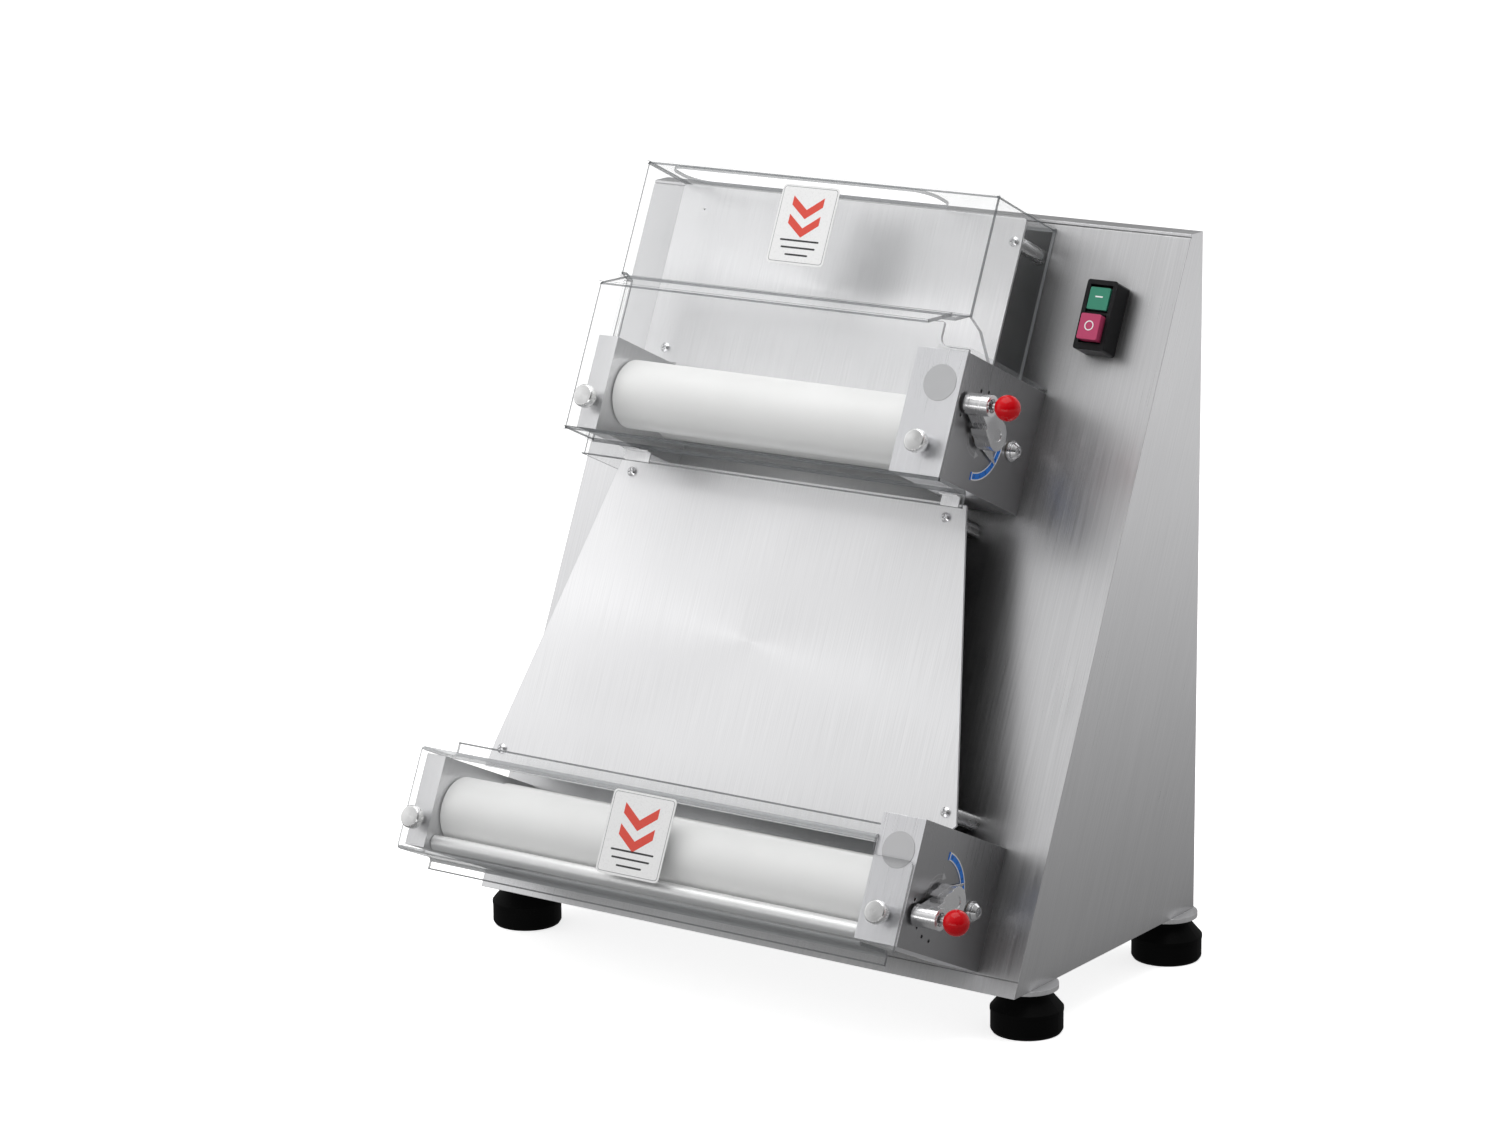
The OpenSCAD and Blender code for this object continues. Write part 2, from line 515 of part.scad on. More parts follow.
// ---- levers
module lever2(m) scale([m, 1]) difference() {
  union() {
    circle(r = hub_r);
    rotate(90 - u_rest) {
      translate([0, -7]) square([index_r, 14]);
      translate([index_r, 0]) circle(r = boss_r - 0.3);
      translate([4, -hub_r + 1]) square([12, 2 * hub_r - 2]);
    }
  }
  rotate(90 - u_rest) translate([22, -22]) circle(r = 13.5);
  rotate(90 - u_rest) translate([20, 34]) circle(r = 24);
  circle(r = 5 + run);
}
module lever_arm(x, c, m) {
  bs = c + pivot_s + m * index_r * sin(u_rest);
  bd = front_axis_d + pivot_d + index_r * cos(u_rest);
  difference() {
    union() {
      prism(x + 3, x + 17.5) translate([c + pivot_s, front_axis_d + pivot_d]) lever2(m);
      rod(x + 2.2, x + boss_out, bs, bd, boss_r);
      prism(x + 1.4, x + 2.2) translate([c + pivot_s, front_axis_d + pivot_d]) pointer2(m);
      bush(x + 1.4, x + 3.1, c + pivot_s, front_axis_d + pivot_d, 5 + run, 9);
    }
    rod(x, x + 40, bs, bd, 3 + run);
    rod(x + boss_out - 6, x + 40, bs, bd, 5.6);
    rod(x + 2, x + 3.4, bs, bd, 5.6);
  }
}
module pointer2(m) scale([m, 1]) rotate(270 - u_rest) difference() {
  polygon([[4, -8], [36.5, 0], [4, 8]]);
  circle(r = 5.5);
}
module upper_lever() color([0.75, 0.76, 0.77]) face() lever_arm(u_x1 + upper_case_w, upper_s, 1);
module lower_lever() color([0.75, 0.76, 0.77]) face() lever_arm(l_x1 + lower_case_w, lower_s, -1);
module upper_cam_shaft() color([0.55, 0.55, 0.57]) face()
  cam_shaft(u_x1, upper_case_w, upper_s, 1);
module lower_cam_shaft() color([0.55, 0.55, 0.57]) face()
  cam_shaft(l_x1, lower_case_w, lower_s, -1);
module index_pin(x, c, m) {
  bs = c + pivot_s + m * index_r * sin(u_rest);
  bd = front_axis_d + pivot_d + index_r * cos(u_rest);
  rod(x + 1.6, x + 32, bs, bd, 3);
  cone(x + 0.2, x + 1.6, bs, bd, 1.5, 3);
  rod(x + boss_out - 5.8, x + boss_out - 3.6, bs, bd, 5.2);
}
module ball(x, c, m) {
  bs = c + pivot_s + m * index_r * sin(u_rest);
  bd = front_axis_d + pivot_d + index_r * cos(u_rest);
  difference() {
    translate([x + boss_out + 3.6 + ball_r, bs, bd]) sphere(r = ball_r);
    rod(x, x + 32.1, bs, bd, 3 + run);
  }
}
module upper_index_pin() color([0.6, 0.6, 0.61]) face() index_pin(u_x1 + upper_case_w, upper_s, 1);
module lower_index_pin() color([0.6, 0.6, 0.61]) face() index_pin(l_x1 + lower_case_w, lower_s, -1);
module upper_ball() color([0.75, 0.02, 0.06]) face() ball(u_x1 + upper_case_w, upper_s, 1);
module lower_ball() color([0.75, 0.02, 0.06]) face() ball(l_x1 + lower_case_w, lower_s, -1);

// ---- guards
hood_low = upper_s + 98;
step_low = upper_s + 83.5;
module upper_guard() color([0.85, 0.9, 0.92, 0.3]) face() difference() {
  union() {
    bx(gx0, gx1, hood_top - guard_t, hood_top, seat, hood_d);
    bx(gx0, gx1, hood_low, hood_top, hood_d - guard_t, hood_d);
    prism(gxl - 3, u_x1 + 5) polygon([[hood_low + 2, hood_d - guard_t], [hood_low + 2, hood_d],
      [step_low, knob_d0], [step_low - guard_t, knob_d0], [step_low - guard_t, knob_d0 - guard_t]]);
    prism(u_x1 + 4, gx1) polygon([[hood_low + 2, hood_d - guard_t], [hood_low + 2, hood_d],
      [hood_low - 7, hood_d + 18], [hood_low - 9.5, hood_d + 16.5]]);
    bx(gxl, u_x1 + 5, u_bot - 3.5, step_low, case_d + seat, knob_d0);
    bx(u_x1 + 4, u_x1 + upper_case_w + 2, u_bot - 3.5, upper_s + case_above + 1, case_d + seat, knob_d0);
    bx(u_x1 + 4, u_x1 + 21, upper_s + case_above, step_low, case_d + seat, knob_d0);
    bx(u_x1 + 18, u_x1 + upper_case_w + 2, upper_s + case_above + 0.6, upper_s + case_above + 0.6 + guard_t,
      seat, knob_d0);
    bx(gxl, u_x1 + upper_case_w, u_bot - 3.5, u_bot - 0.5, skirt_d - guard_t, knob_d0);
    bx(gxl - 6, u_x1 + upper_case_w, u_bot - 15, u_bot - 0.5, skirt_d - guard_t, skirt_d);
    prism(gx0, gx0 + guard_t) polygon([[hood_top, seat], [hood_top, hood_d], [hood_low + 2, hood_d],
      [hood_low - 6, hood_d - 2], [hood_low - 6, seat]]);
    prism(gxl, gxl + guard_t) polygon([[hood_low - 3, hood_d - 4], [hood_low + 2, hood_d],
      [step_low, knob_d0], [u_bot - 3.5, knob_d0], [u_bot - 3.5, skirt_d - 1], [hood_low - 3, skirt_d - 1]]);
    prism(gxl - 6, gxl + guard_t - 6) polygon([[hood_low - 3, seat], [hood_low - 3, skirt_d],
      [u_bot - 15, skirt_d], [u_bot - 15, seat]]);
    bx(gxl - 6, gxl + guard_t, u_bot - 3.5, hood_low - 3, skirt_d - guard_t, skirt_d);
    prism(gx1 - guard_t, gx1) polygon([[hood_top, seat], [hood_top, hood_d], [hood_low + 2, hood_d],
      [hood_low - 8, hood_d - 22], [upper_s + case_above + 3, hood_d - 50],
      [upper_s + case_above + 3, seat]]);
  }
  translate([0, hood_top + 1, 0]) rotate([90, 0, 0]) linear_extrude(guard_t + 2)
    rbox2(gx0 + 15, gx1 - mouth_right, chute_d + 2, hood_d - mouth_rim, 18);
  post(u_x0 - cheek_t / 2, upper_s + knob_up_s, case_d, knob_d0 + 1, 2.7);
  post(u_x1 + upper_case_w * 0.56, upper_s + knob_up_s, case_d, knob_d0 + 1, 2.7);
}
module lower_guard() color([0.85, 0.9, 0.92, 0.3]) face() difference() {
  union() {
    bx(lgx0, l_x1 + 1, l_bot - 5, lower_s + cheek_above + 5, case_d + seat, knob_d0);
    plate(case_d + seat, knob_d0)
      rbox2(l_x1 - 8, l_x1 + lower_case_w - 1, l_bot - 5, lower_s + 28, 6);
    bx(l_x1 - 8, l_x1 + 8, l_bot - 5, l_bot + 8, case_d + seat, knob_d0);
    bx(l_x1 + 8, l_x1 + lower_case_w - 1, l_bot - 5, l_bot + 8, case_d + seat, knob_d0);
    bx(lgx0, l_x1 - 1, lower_s + cheek_above + 2, lower_s + cheek_above + 5, skirt_d - guard_t, knob_d0);
    bx(lgx0 + 8, l_x1 - 1, lower_s + cheek_above + 2, lower_s + cheek_above + 17, skirt_d - guard_t, skirt_d);
    bx(lgx0, l_x1 + 8, l_bot - 5, l_bot - 2, skirt_d - guard_t, knob_d0);
    bx(lgx0 + 2, l_x1 + 8, l_bot - 15, l_bot - 2, skirt_d - guard_t, skirt_d);
    bx(lgx0, lgx0 + guard_t, l_bot - 5, lower_s + cheek_above + 5, skirt_d - guard_t, knob_d0);
  }
  post(l_x0 - cheek_t / 2, lower_s + knob_up_s, case_d, knob_d0 + 1, 2.7);
  post(l_x1 + lower_case_w * 0.56, lower_s + knob_up_s, case_d, knob_d0 + 1, 2.7);
}
module knob(x, s) {
  post(x, s, case_d - 12, knob_d0 + 1, 2.5);
  post(x, s, knob_d0, knob_d0 + knob_stem, 4.8);
  post(x, s, knob_d0 + knob_stem - 0.1, knob_d0 + knob_stem + knob_h - 0.8, knob_r);
  translate([x, s, knob_d0 + knob_stem + knob_h - 0.8]) cylinder(h = 0.8, r1 = knob_r, r2 = knob_r - 0.8);
}
module upper_knob_left() color([0.85, 0.85, 0.86]) face() knob(u_x0 - cheek_t / 2, upper_s + knob_up_s);
module upper_knob_right() color([0.85, 0.85, 0.86]) face()
  knob(u_x1 + upper_case_w * 0.56, upper_s + knob_up_s);
module lower_knob_left() color([0.85, 0.85, 0.86]) face() knob(l_x0 - cheek_t / 2, lower_s + knob_up_s);
module lower_knob_right() color([0.85, 0.85, 0.86]) face()
  knob(l_x1 + lower_case_w * 0.56, lower_s + knob_up_s);

// ---- drive inside the cabinet
function cy(s) = s * sin(tilt) - counter_d * cos(tilt);
function cz(s) = s * cos(tilt) + counter_d * sin(tilt);
module counter_shaft(x0, x1, xg, s) {
  rod(x0, x1, s, counter_d, shaft_r);
  prism(xg, xg + gear_w) translate([s, counter_d]) gear2(p_count);
  prism(chain_x, chain_x + chain_w - 1) translate([s, counter_d]) sprocket2();
}
module upper_counter_shaft() color([0.55, 0.55, 0.56]) face()
  counter_shaft(u_x1 - 22, chain_x + 20, u_x1 + wall_t + 1.5, upper_s + rear_up);
module lower_counter_shaft() color([0.55, 0.55, 0.56]) face()
  counter_shaft(u_x1 - 2, l_x1 + wall_t + gear_w + 8, l_x1 + wall_t + 1.5, lower_s + rear_up);
module drive_chain() color([0.35, 0.35, 0.36]) face() {
  a = lower_s + rear_up;
  b = upper_s + rear_up;
  prism(chain_x - 0.5, chain_x + chain_w - 0.5) difference() {
    union() {
      translate([a, counter_d - chain_pr - 4]) square([b - a, 2 * chain_pr + 8]);
      for (s = [a, b]) translate([s, counter_d]) circle(r = chain_pr + 4);
    }
    translate([a, counter_d - chain_pr - 0.3]) square([b - a, 2 * chain_pr + 0.6]);
    for (s = [a, b]) translate([s, counter_d]) circle(r = chain_pr + 0.3);
  }
}
module bearing_bracket(x, s) difference() {
  union() {
    bx(x, x + 6, s - 14, s + 14, counter_d - 13, -sheet);
    bx(x, x + 6, s - 30, s + 30, -sheet - 4, -sheet);
  }
  rod(x - 1, x + 7, s, counter_d, shaft_r + run);
}
module shaft_brackets() color([0.45, 0.46, 0.47]) face() {
  bearing_bracket(u_x1 - 16, upper_s + rear_up);
  bearing_bracket(chain_x + 12, upper_s + rear_up);
  bearing_bracket(l_x1 - 12, lower_s + rear_up);
}
module gearbox() color([0.42, 0.43, 0.45]) world() difference() {
  union() {
    translate([u_x1 - 66, cy(lower_s + rear_up) - 16, 2]) cube([60, 100, cz(lower_s + rear_up) + 10]);
    translate([u_x1 - 66, cy(lower_s + rear_up) + 6, 2]) cube([60, 78, 86]);
    translate([u_x1 - 74, cy(lower_s + rear_up) - 16, 2]) cube([76, 112, 6]);
  }
  translate([u_x1 - 20, cy(lower_s + rear_up), cz(lower_s + rear_up)]) rotate([0, 90, 0])
    cylinder(h = 20, r = shaft_r + run);
}
module motor() color([0.3, 0.33, 0.36]) world()
  translate([u_x1 - 66.2, cy(lower_s + rear_up) + 40, 48]) rotate([0, -90, 0]) difference() {
    union() {
      cylinder(h = 8, r = 38);
      translate([0, 0, 8]) cylinder(h = 110, r = 36);
      for (z = [14:9:104]) translate([0, 0, z]) cylinder(h = 3, r = 38.5);
      translate([0, 0, 118]) cylinder(h = 16, r = 37);
      translate([30, -18, 40]) cube([18, 36, 46]);
    }
    for (a = [0:45:315]) rotate(a) translate([22, 0, 126]) cylinder(h = 12, r = 4);
  }

cabinet_shell();
base_plate();
back_cover();
cable_gland();
rubber_feet();
foot_plates();
foot_bolts();
switch_housing();
start_button();
stop_button();
chute_plate();
feed_plate();
plate_spacers();
plate_screws();
upper_case();
upper_cheek();
lower_case();
lower_cheek();
shaft_bushes();
case_plugs();
upper_scale();
lower_scale();
upper_rear_roller();
upper_rear_shaft();
upper_rear_gear();
upper_front_roller();
upper_front_shaft();
upper_front_gear();
upper_blocks();
upper_yoke();
upper_lever();
upper_cam_shaft();
upper_index_pin();
upper_ball();
upper_guard();
upper_knob_left();
upper_knob_right();
lower_rear_roller();
lower_rear_shaft();
lower_rear_gear();
lower_front_roller();
lower_front_shaft();
lower_front_gear();
lower_blocks();
lower_yoke();
lower_lever();
lower_cam_shaft();
lower_index_pin();
lower_ball();
lower_guard();
lower_knob_left();
lower_knob_right();
lower_guide_rod();
upper_counter_shaft();
lower_counter_shaft();
drive_chain();
shaft_brackets();
gearbox();
motor();
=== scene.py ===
"""Looks for the dough sheeter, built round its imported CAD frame."""
import json
import math

import bmesh
import bpy
from mathutils import Matrix, Vector


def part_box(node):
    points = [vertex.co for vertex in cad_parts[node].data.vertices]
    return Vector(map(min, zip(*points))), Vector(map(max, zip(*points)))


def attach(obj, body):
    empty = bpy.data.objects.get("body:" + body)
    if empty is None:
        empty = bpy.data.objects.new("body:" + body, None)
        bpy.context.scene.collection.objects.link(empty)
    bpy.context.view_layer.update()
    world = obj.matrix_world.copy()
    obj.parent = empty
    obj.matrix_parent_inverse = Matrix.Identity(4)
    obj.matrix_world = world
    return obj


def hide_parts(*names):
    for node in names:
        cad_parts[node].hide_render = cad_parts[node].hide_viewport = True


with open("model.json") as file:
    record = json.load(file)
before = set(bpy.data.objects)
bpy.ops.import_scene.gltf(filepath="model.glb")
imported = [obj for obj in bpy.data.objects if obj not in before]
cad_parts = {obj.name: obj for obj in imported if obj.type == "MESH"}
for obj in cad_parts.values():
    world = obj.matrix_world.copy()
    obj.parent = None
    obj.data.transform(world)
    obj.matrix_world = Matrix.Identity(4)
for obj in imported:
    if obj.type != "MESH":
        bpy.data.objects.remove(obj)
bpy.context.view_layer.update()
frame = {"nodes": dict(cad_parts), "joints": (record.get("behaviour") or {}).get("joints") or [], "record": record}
MM = 0.001
JOINTS = {joint["name"]: joint for joint in frame["joints"]}

# ---- the sloped face's own frame: x across, s up the face, d out of it, in millimetres
OUT = Vector(JOINTS["upper_gap_slide"]["axis"]).normalized()
RIGHT = Vector((1, 0, 0))
UP = OUT.cross(RIGHT)
shell_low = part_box("cabinet_shell")[0]
FACE_FOOT = Vector((0, shell_low.y, shell_low.z))


def at(x, s, d):
    """A point of the face's frame as a point of the row frame, in metres."""
    return FACE_FOOT + (RIGHT * x + UP * s + OUT * d) * MM


def face_matrix(x, s, d):
    """Local X across, Y up the face, Z out of it."""
    turn = Matrix((RIGHT, UP, OUT)).transposed().to_4x4()
    return Matrix.Translation(at(x, s, d)) @ turn


def face_place(point):
    """(s, d) in millimetres of a point of the row frame."""
    offset = (Vector(point) - FACE_FOOT) / MM
    return offset.dot(UP), offset.dot(OUT)


# ---- camera
AZIMUTH, ELEVATION, ROLL = math.radians(35.284), math.radians(13.646), math.radians(-0.5417)
LENS, SENSOR = 110.78, 36  # millimetres
CAMERA_FROM_FOOT = Vector((2.0750, -2.9094, 1.1838))


def make_camera():
    data = bpy.data.cameras.new("camera")
    data.lens, data.sensor_width = LENS, SENSOR
    data.clip_start, data.clip_end = 0.1, 60
    cam = bpy.data.objects.new("camera", data)
    bpy.context.scene.collection.objects.link(cam)
    level = math.cos(ELEVATION)
    back = Vector((math.sin(AZIMUTH) * level, -math.cos(AZIMUTH) * level, math.sin(ELEVATION)))
    right = (-back).cross(Vector((0, 0, 1))).normalized()
    up = back.cross(right)
    right, up = (math.cos(ROLL) * right + math.sin(ROLL) * up,
                 math.cos(ROLL) * up - math.sin(ROLL) * right)
    turn = Matrix((right, up, back)).transposed().to_4x4()
    cam.matrix_world = Matrix.Translation(FACE_FOOT + CAMERA_FROM_FOOT) @ turn
    bpy.context.scene.camera = cam


make_camera()


# ---- materials
MATERIALS = {}  # by the name that each was asked for, as Blender may add a number to it


class Shader:
    """A material with one Principled shader and short ways to add nodes to it."""

    def __init__(self, name, colour, metallic=0.0, rough=0.4, **sockets):
        self.material = bpy.data.materials.new(name)
        MATERIALS[name] = self.material
        self.material.use_nodes = True
        self.nodes, self.links = self.material.node_tree.nodes, self.material.node_tree.links
        self.main = self.nodes["Principled BSDF"]
        self.main.inputs["Base Color"].default_value = (*colour, 1)
        self.main.inputs["Metallic"].default_value = metallic
        self.main.inputs["Roughness"].default_value = rough
        for key, value in sockets.items():
            self.main.inputs[key.replace("_", " ")].default_value = value
        self.material.diffuse_color = (*colour, 1)

    def node(self, kind, **values):
        node = self.nodes.new(kind)
        for key, value in values.items():
            setattr(node, key, value)
        return node

    def join(self, source, target):
        self.links.new(source, target)

    def place(self, scale=(1, 1, 1), turn=(0, 0, 0)):
        """Object coordinates, turned then scaled."""
        coords = self.node("ShaderNodeTexCoord")
        turned_by = self.node("ShaderNodeMapping")
        turned_by.inputs["Rotation"].default_value = turn
        self.join(coords.outputs["Object"], turned_by.inputs["Vector"])
        scaled_by = self.node("ShaderNodeMapping")
        scaled_by.inputs["Scale"].default_value = scale
        self.join(turned_by.outputs["Vector"], scaled_by.inputs["Vector"])
        return scaled_by.outputs["Vector"]

    def noise(self, scale=5.0, detail=2.0, stretch=(1, 1, 1), turn=(0, 0, 0)):
        node = self.node("ShaderNodeTexNoise")
        node.inputs["Scale"].default_value = scale
        node.inputs["Detail"].default_value = detail
        self.join(self.place(stretch, turn), node.inputs["Vector"])
        return node.outputs["Fac"]

    def spread(self, value, low, high, start=0.3, end=0.7):
        """Maps start..end to low..high; the defaults suit a noise, which stays near 0.5."""
        node = self.node("ShaderNodeMapRange")
        node.inputs["From Min"].default_value, node.inputs["From Max"].default_value = start, end
        node.inputs["To Min"].default_value, node.inputs["To Max"].default_value = low, high
        self.join(value, node.inputs["Value"])
        return node.outputs["Result"]

    def sum(self, first, second, operation="ADD"):
        """Joins two numbers or sockets with a maths operation."""
        node = self.node("ShaderNodeMath", operation=operation)
        for i, value in enumerate((first, second)):
            if isinstance(value, (int, float)):
                node.inputs[i].default_value = value
            else:
                self.join(value, node.inputs[i])
        return node.outputs[0]

    def mix(self, factor, first, second):
        """The first colour where factor is 0 and the second where it is 1."""
        node = self.node("ShaderNodeMix", data_type="RGBA")
        for name, kind, value in (("Factor", "VALUE", factor), ("A", "RGBA", first), ("B", "RGBA", second)):
            socket = [i for i in node.inputs if i.name == name and i.type == kind][0]
            if isinstance(value, (int, float)):
                socket.default_value = value
            elif isinstance(value, tuple):
                socket.default_value = (*value, 1)
            else:
                self.join(value, socket)
        return [i for i in node.outputs if i.type == "RGBA"][0]

    def colour(self, socket):
        self.join(socket, self.main.inputs["Base Color"])

    def rough(self, socket):
        self.join(socket, self.main.inputs["Roughness"])

    def bump(self, height, strength=0.2, distance=0.0003, round_edges=0.0):
        node = self.node("ShaderNodeBump")
        node.inputs["Strength"].default_value = strength
        node.inputs["Distance"].default_value = distance
        self.join(height, node.inputs["Height"])
        if round_edges:
            edges = self.node("ShaderNodeBevel", samples=4)
            edges.inputs["Radius"].default_value = round_edges
            self.join(edges.outputs["Normal"], node.inputs["Normal"])
        self.join(node.outputs["Normal"], self.main.inputs["Normal"])

    def facing_x(self):
        """1 on faces that look left or right, 0 on the rest."""
        sideways = 0.7
        geometry = self.node("ShaderNodeNewGeometry")
        normal = self.node("ShaderNodeSeparateXYZ")
        self.join(geometry.outputs["Normal"], normal.inputs["Vector"])
        return self.sum(self.sum(normal.outputs["X"], 0.0, "ABSOLUTE"), sideways, "GREATER_THAN")


TILT = math.atan2(OUT.z, -OUT.y)
PAINTED_SHADE_REACH = 0.08  # how far off a wall painted shade still darkens a hollow, in metres
PAINTED_SHADE_LEFT, PAINTED_SHADE_RIGHT = -0.05, 0.12  # X where the painted shade starts to grow, and where it is full, as if light came from the left


def brushed(name, colour, rough, painted_side_shade=1.0, painted_hollow_shade=1.0):
    """Brushed sheet: fine grain up the sheet, soft cloudy handling marks, light along the edges.
    The side factor paints shade: faces that look sideways take that share of the colour, as if they stood in
    shade. The hollow factor paints shade found by ambient occlusion:
    it is how bright the right hand's hollows stay, and hollows on the left take a quarter of that shade, as if
    light came from the left."""
    grain, edge, anisotropy = 0.05, 0.0006, 0.4
    look = Shader(name, colour, 1.0, rough, Anisotropic=anisotropy)
    turn = (TILT, 0, 0)
    fine, coarse = 1400, 14
    across = look.noise(1.0, 3, (fine, coarse, coarse), turn)
    along = look.noise(1.0, 3, (coarse, fine, coarse), turn)
    side = look.facing_x()
    on_front = look.sum(across, look.sum(1.0, side, "SUBTRACT"), "MULTIPLY")
    lines = look.sum(on_front, look.sum(along, side, "MULTIPLY"))
    cloud = look.spread(look.noise(6, 3), -0.03, 0.05)
    look.rough(look.sum(look.spread(lines, rough - grain, rough + grain), cloud))
    light = tuple(min(1, c * 1.05) for c in colour)
    dark = tuple(c * 0.93 for c in colour)
    tone = look.mix(look.spread(lines, 0, 1), dark, light)
    # painted shade: faces that look sideways take a darker copy of the colour, standing in for the shade they fall
    # into
    if painted_side_shade < 1:
        tone = look.mix(side, tone, tuple(c * painted_side_shade for c in colour))
    # painted shade: ambient occlusion darkens the colour in hollows and between parts, more towards the right
    if painted_hollow_shade < 1:
        hollow = look.node("ShaderNodeAmbientOcclusion", samples=6)
        hollow.inputs["Distance"].default_value = PAINTED_SHADE_REACH
        coords = look.node("ShaderNodeTexCoord")
        position = look.node("ShaderNodeSeparateXYZ")
        look.join(coords.outputs["Object"], position.inputs["Vector"])
        shade = look.spread(hollow.outputs["AO"], 1, 0, 0.1, 0.85)
        # the painted shade grows from left to right, standing in for light from the left
        ramp = look.spread(position.outputs["X"], 0.25, 1, PAINTED_SHADE_LEFT, PAINTED_SHADE_RIGHT)
        shade = look.sum(shade, ramp, "MULTIPLY")
        tone = look.mix(shade, tone, tuple(c * painted_hollow_shade for c in colour))
    look.colour(tone)
    look.bump(lines, 0.06, 0.00008, edge)


def turned(name, colour, rough):
    """Lathe-turned or milled metal: fine rings round the X axis."""
    look = Shader(name, colour, 1.0, rough, Anisotropic=0.5)
    rings = look.noise(1.0, 2, (900, 60, 60))
    vary = 0.07
    look.rough(look.spread(rings, rough - vary, rough + vary))
    look.bump(rings, 0.08, 0.0001, 0.0004)


def moulded(name, colour, rough=0.45, grain=900, strength=0.12, vary=0.06, **sockets):
    """Moulded plastic or rubber: fine spark-eroded grain and slow colour drift."""
    look = Shader(name, colour, 0.0, rough, **sockets)
    fine = look.noise(grain, 2)
    slow = look.noise(9, 3)
    look.rough(look.spread(slow, rough - vary, rough + vary))
    light = tuple(min(1, c * 1.06 + 0.004) for c in colour)
    look.colour(look.mix(look.spread(slow, 0, 1), colour, light))
    look.bump(fine, strength, 0.00012, 0.0006)


def enamel(name, colour):
    """Sprayed paint with a soft coat and a slight orange peel."""
    look = Shader(name, colour, 0.0, 0.35, Coat_Weight=0.4, Coat_Roughness=0.15)
    peel = look.noise(260, 2)
    look.colour(look.mix(look.spread(look.noise(14, 4), 0, 1), colour, tuple(c * 0.8 for c in colour)))
    look.bump(peel, 0.15, 0.0002, 0.0008)


def clear(name, colour, alpha, rough, glance, specular=0.5):
    """Clear polycarbonate sheet: alpha seen square on, and up to glance more seen edge on."""
    look = Shader(name, colour, 0.0, rough, IOR=1.5, Specular_IOR_Level=specular)
    weight = look.node("ShaderNodeLayerWeight")
    weight.inputs["Blend"].default_value = 0.3
    haze = look.spread(look.noise(20, 3), -0.01, 0.015)
    density = look.spread(weight.outputs["Facing"], alpha, alpha + glance, 0.25, 1.0)
    look.join(look.sum(density, haze), look.main.inputs["Alpha"])


def printed(name, colour, rough=0.4):
    """Print or film: a faint dot grain in the colour and the gloss."""
    look = Shader(name, colour, 0.0, rough)
    dots = look.noise(700, 1)
    look.colour(look.mix(look.spread(dots, 0, 0.25), colour, tuple(min(1, c + 0.04) for c in colour)))
    look.rough(look.spread(dots, rough - 0.05, rough + 0.05))


def spun(name, colour):
    """A faced-off end: the tool marks run round the middle, so light fans out in sectors."""
    look = Shader(name, colour, 1.0, 0.26, Anisotropic=0.8)
    tangent = look.node("ShaderNodeTangent", direction_type="RADIAL", axis="Z")
    look.join(tangent.outputs["Tangent"], look.main.inputs["Tangent"])
    coords = look.node("ShaderNodeTexCoord")
    length = look.node("ShaderNodeVectorMath", operation="LENGTH")
    look.join(coords.outputs["Object"], length.inputs[0])
    rings = look.node("ShaderNodeTexNoise", noise_dimensions="1D")
    rings.inputs["Scale"].default_value = 5200
    look.join(length.outputs["Value"], rings.inputs["W"])
    look.rough(look.spread(rings.outputs["Fac"], 0.2, 0.32))
    look.bump(rings.outputs["Fac"], 0.1, 0.00005)


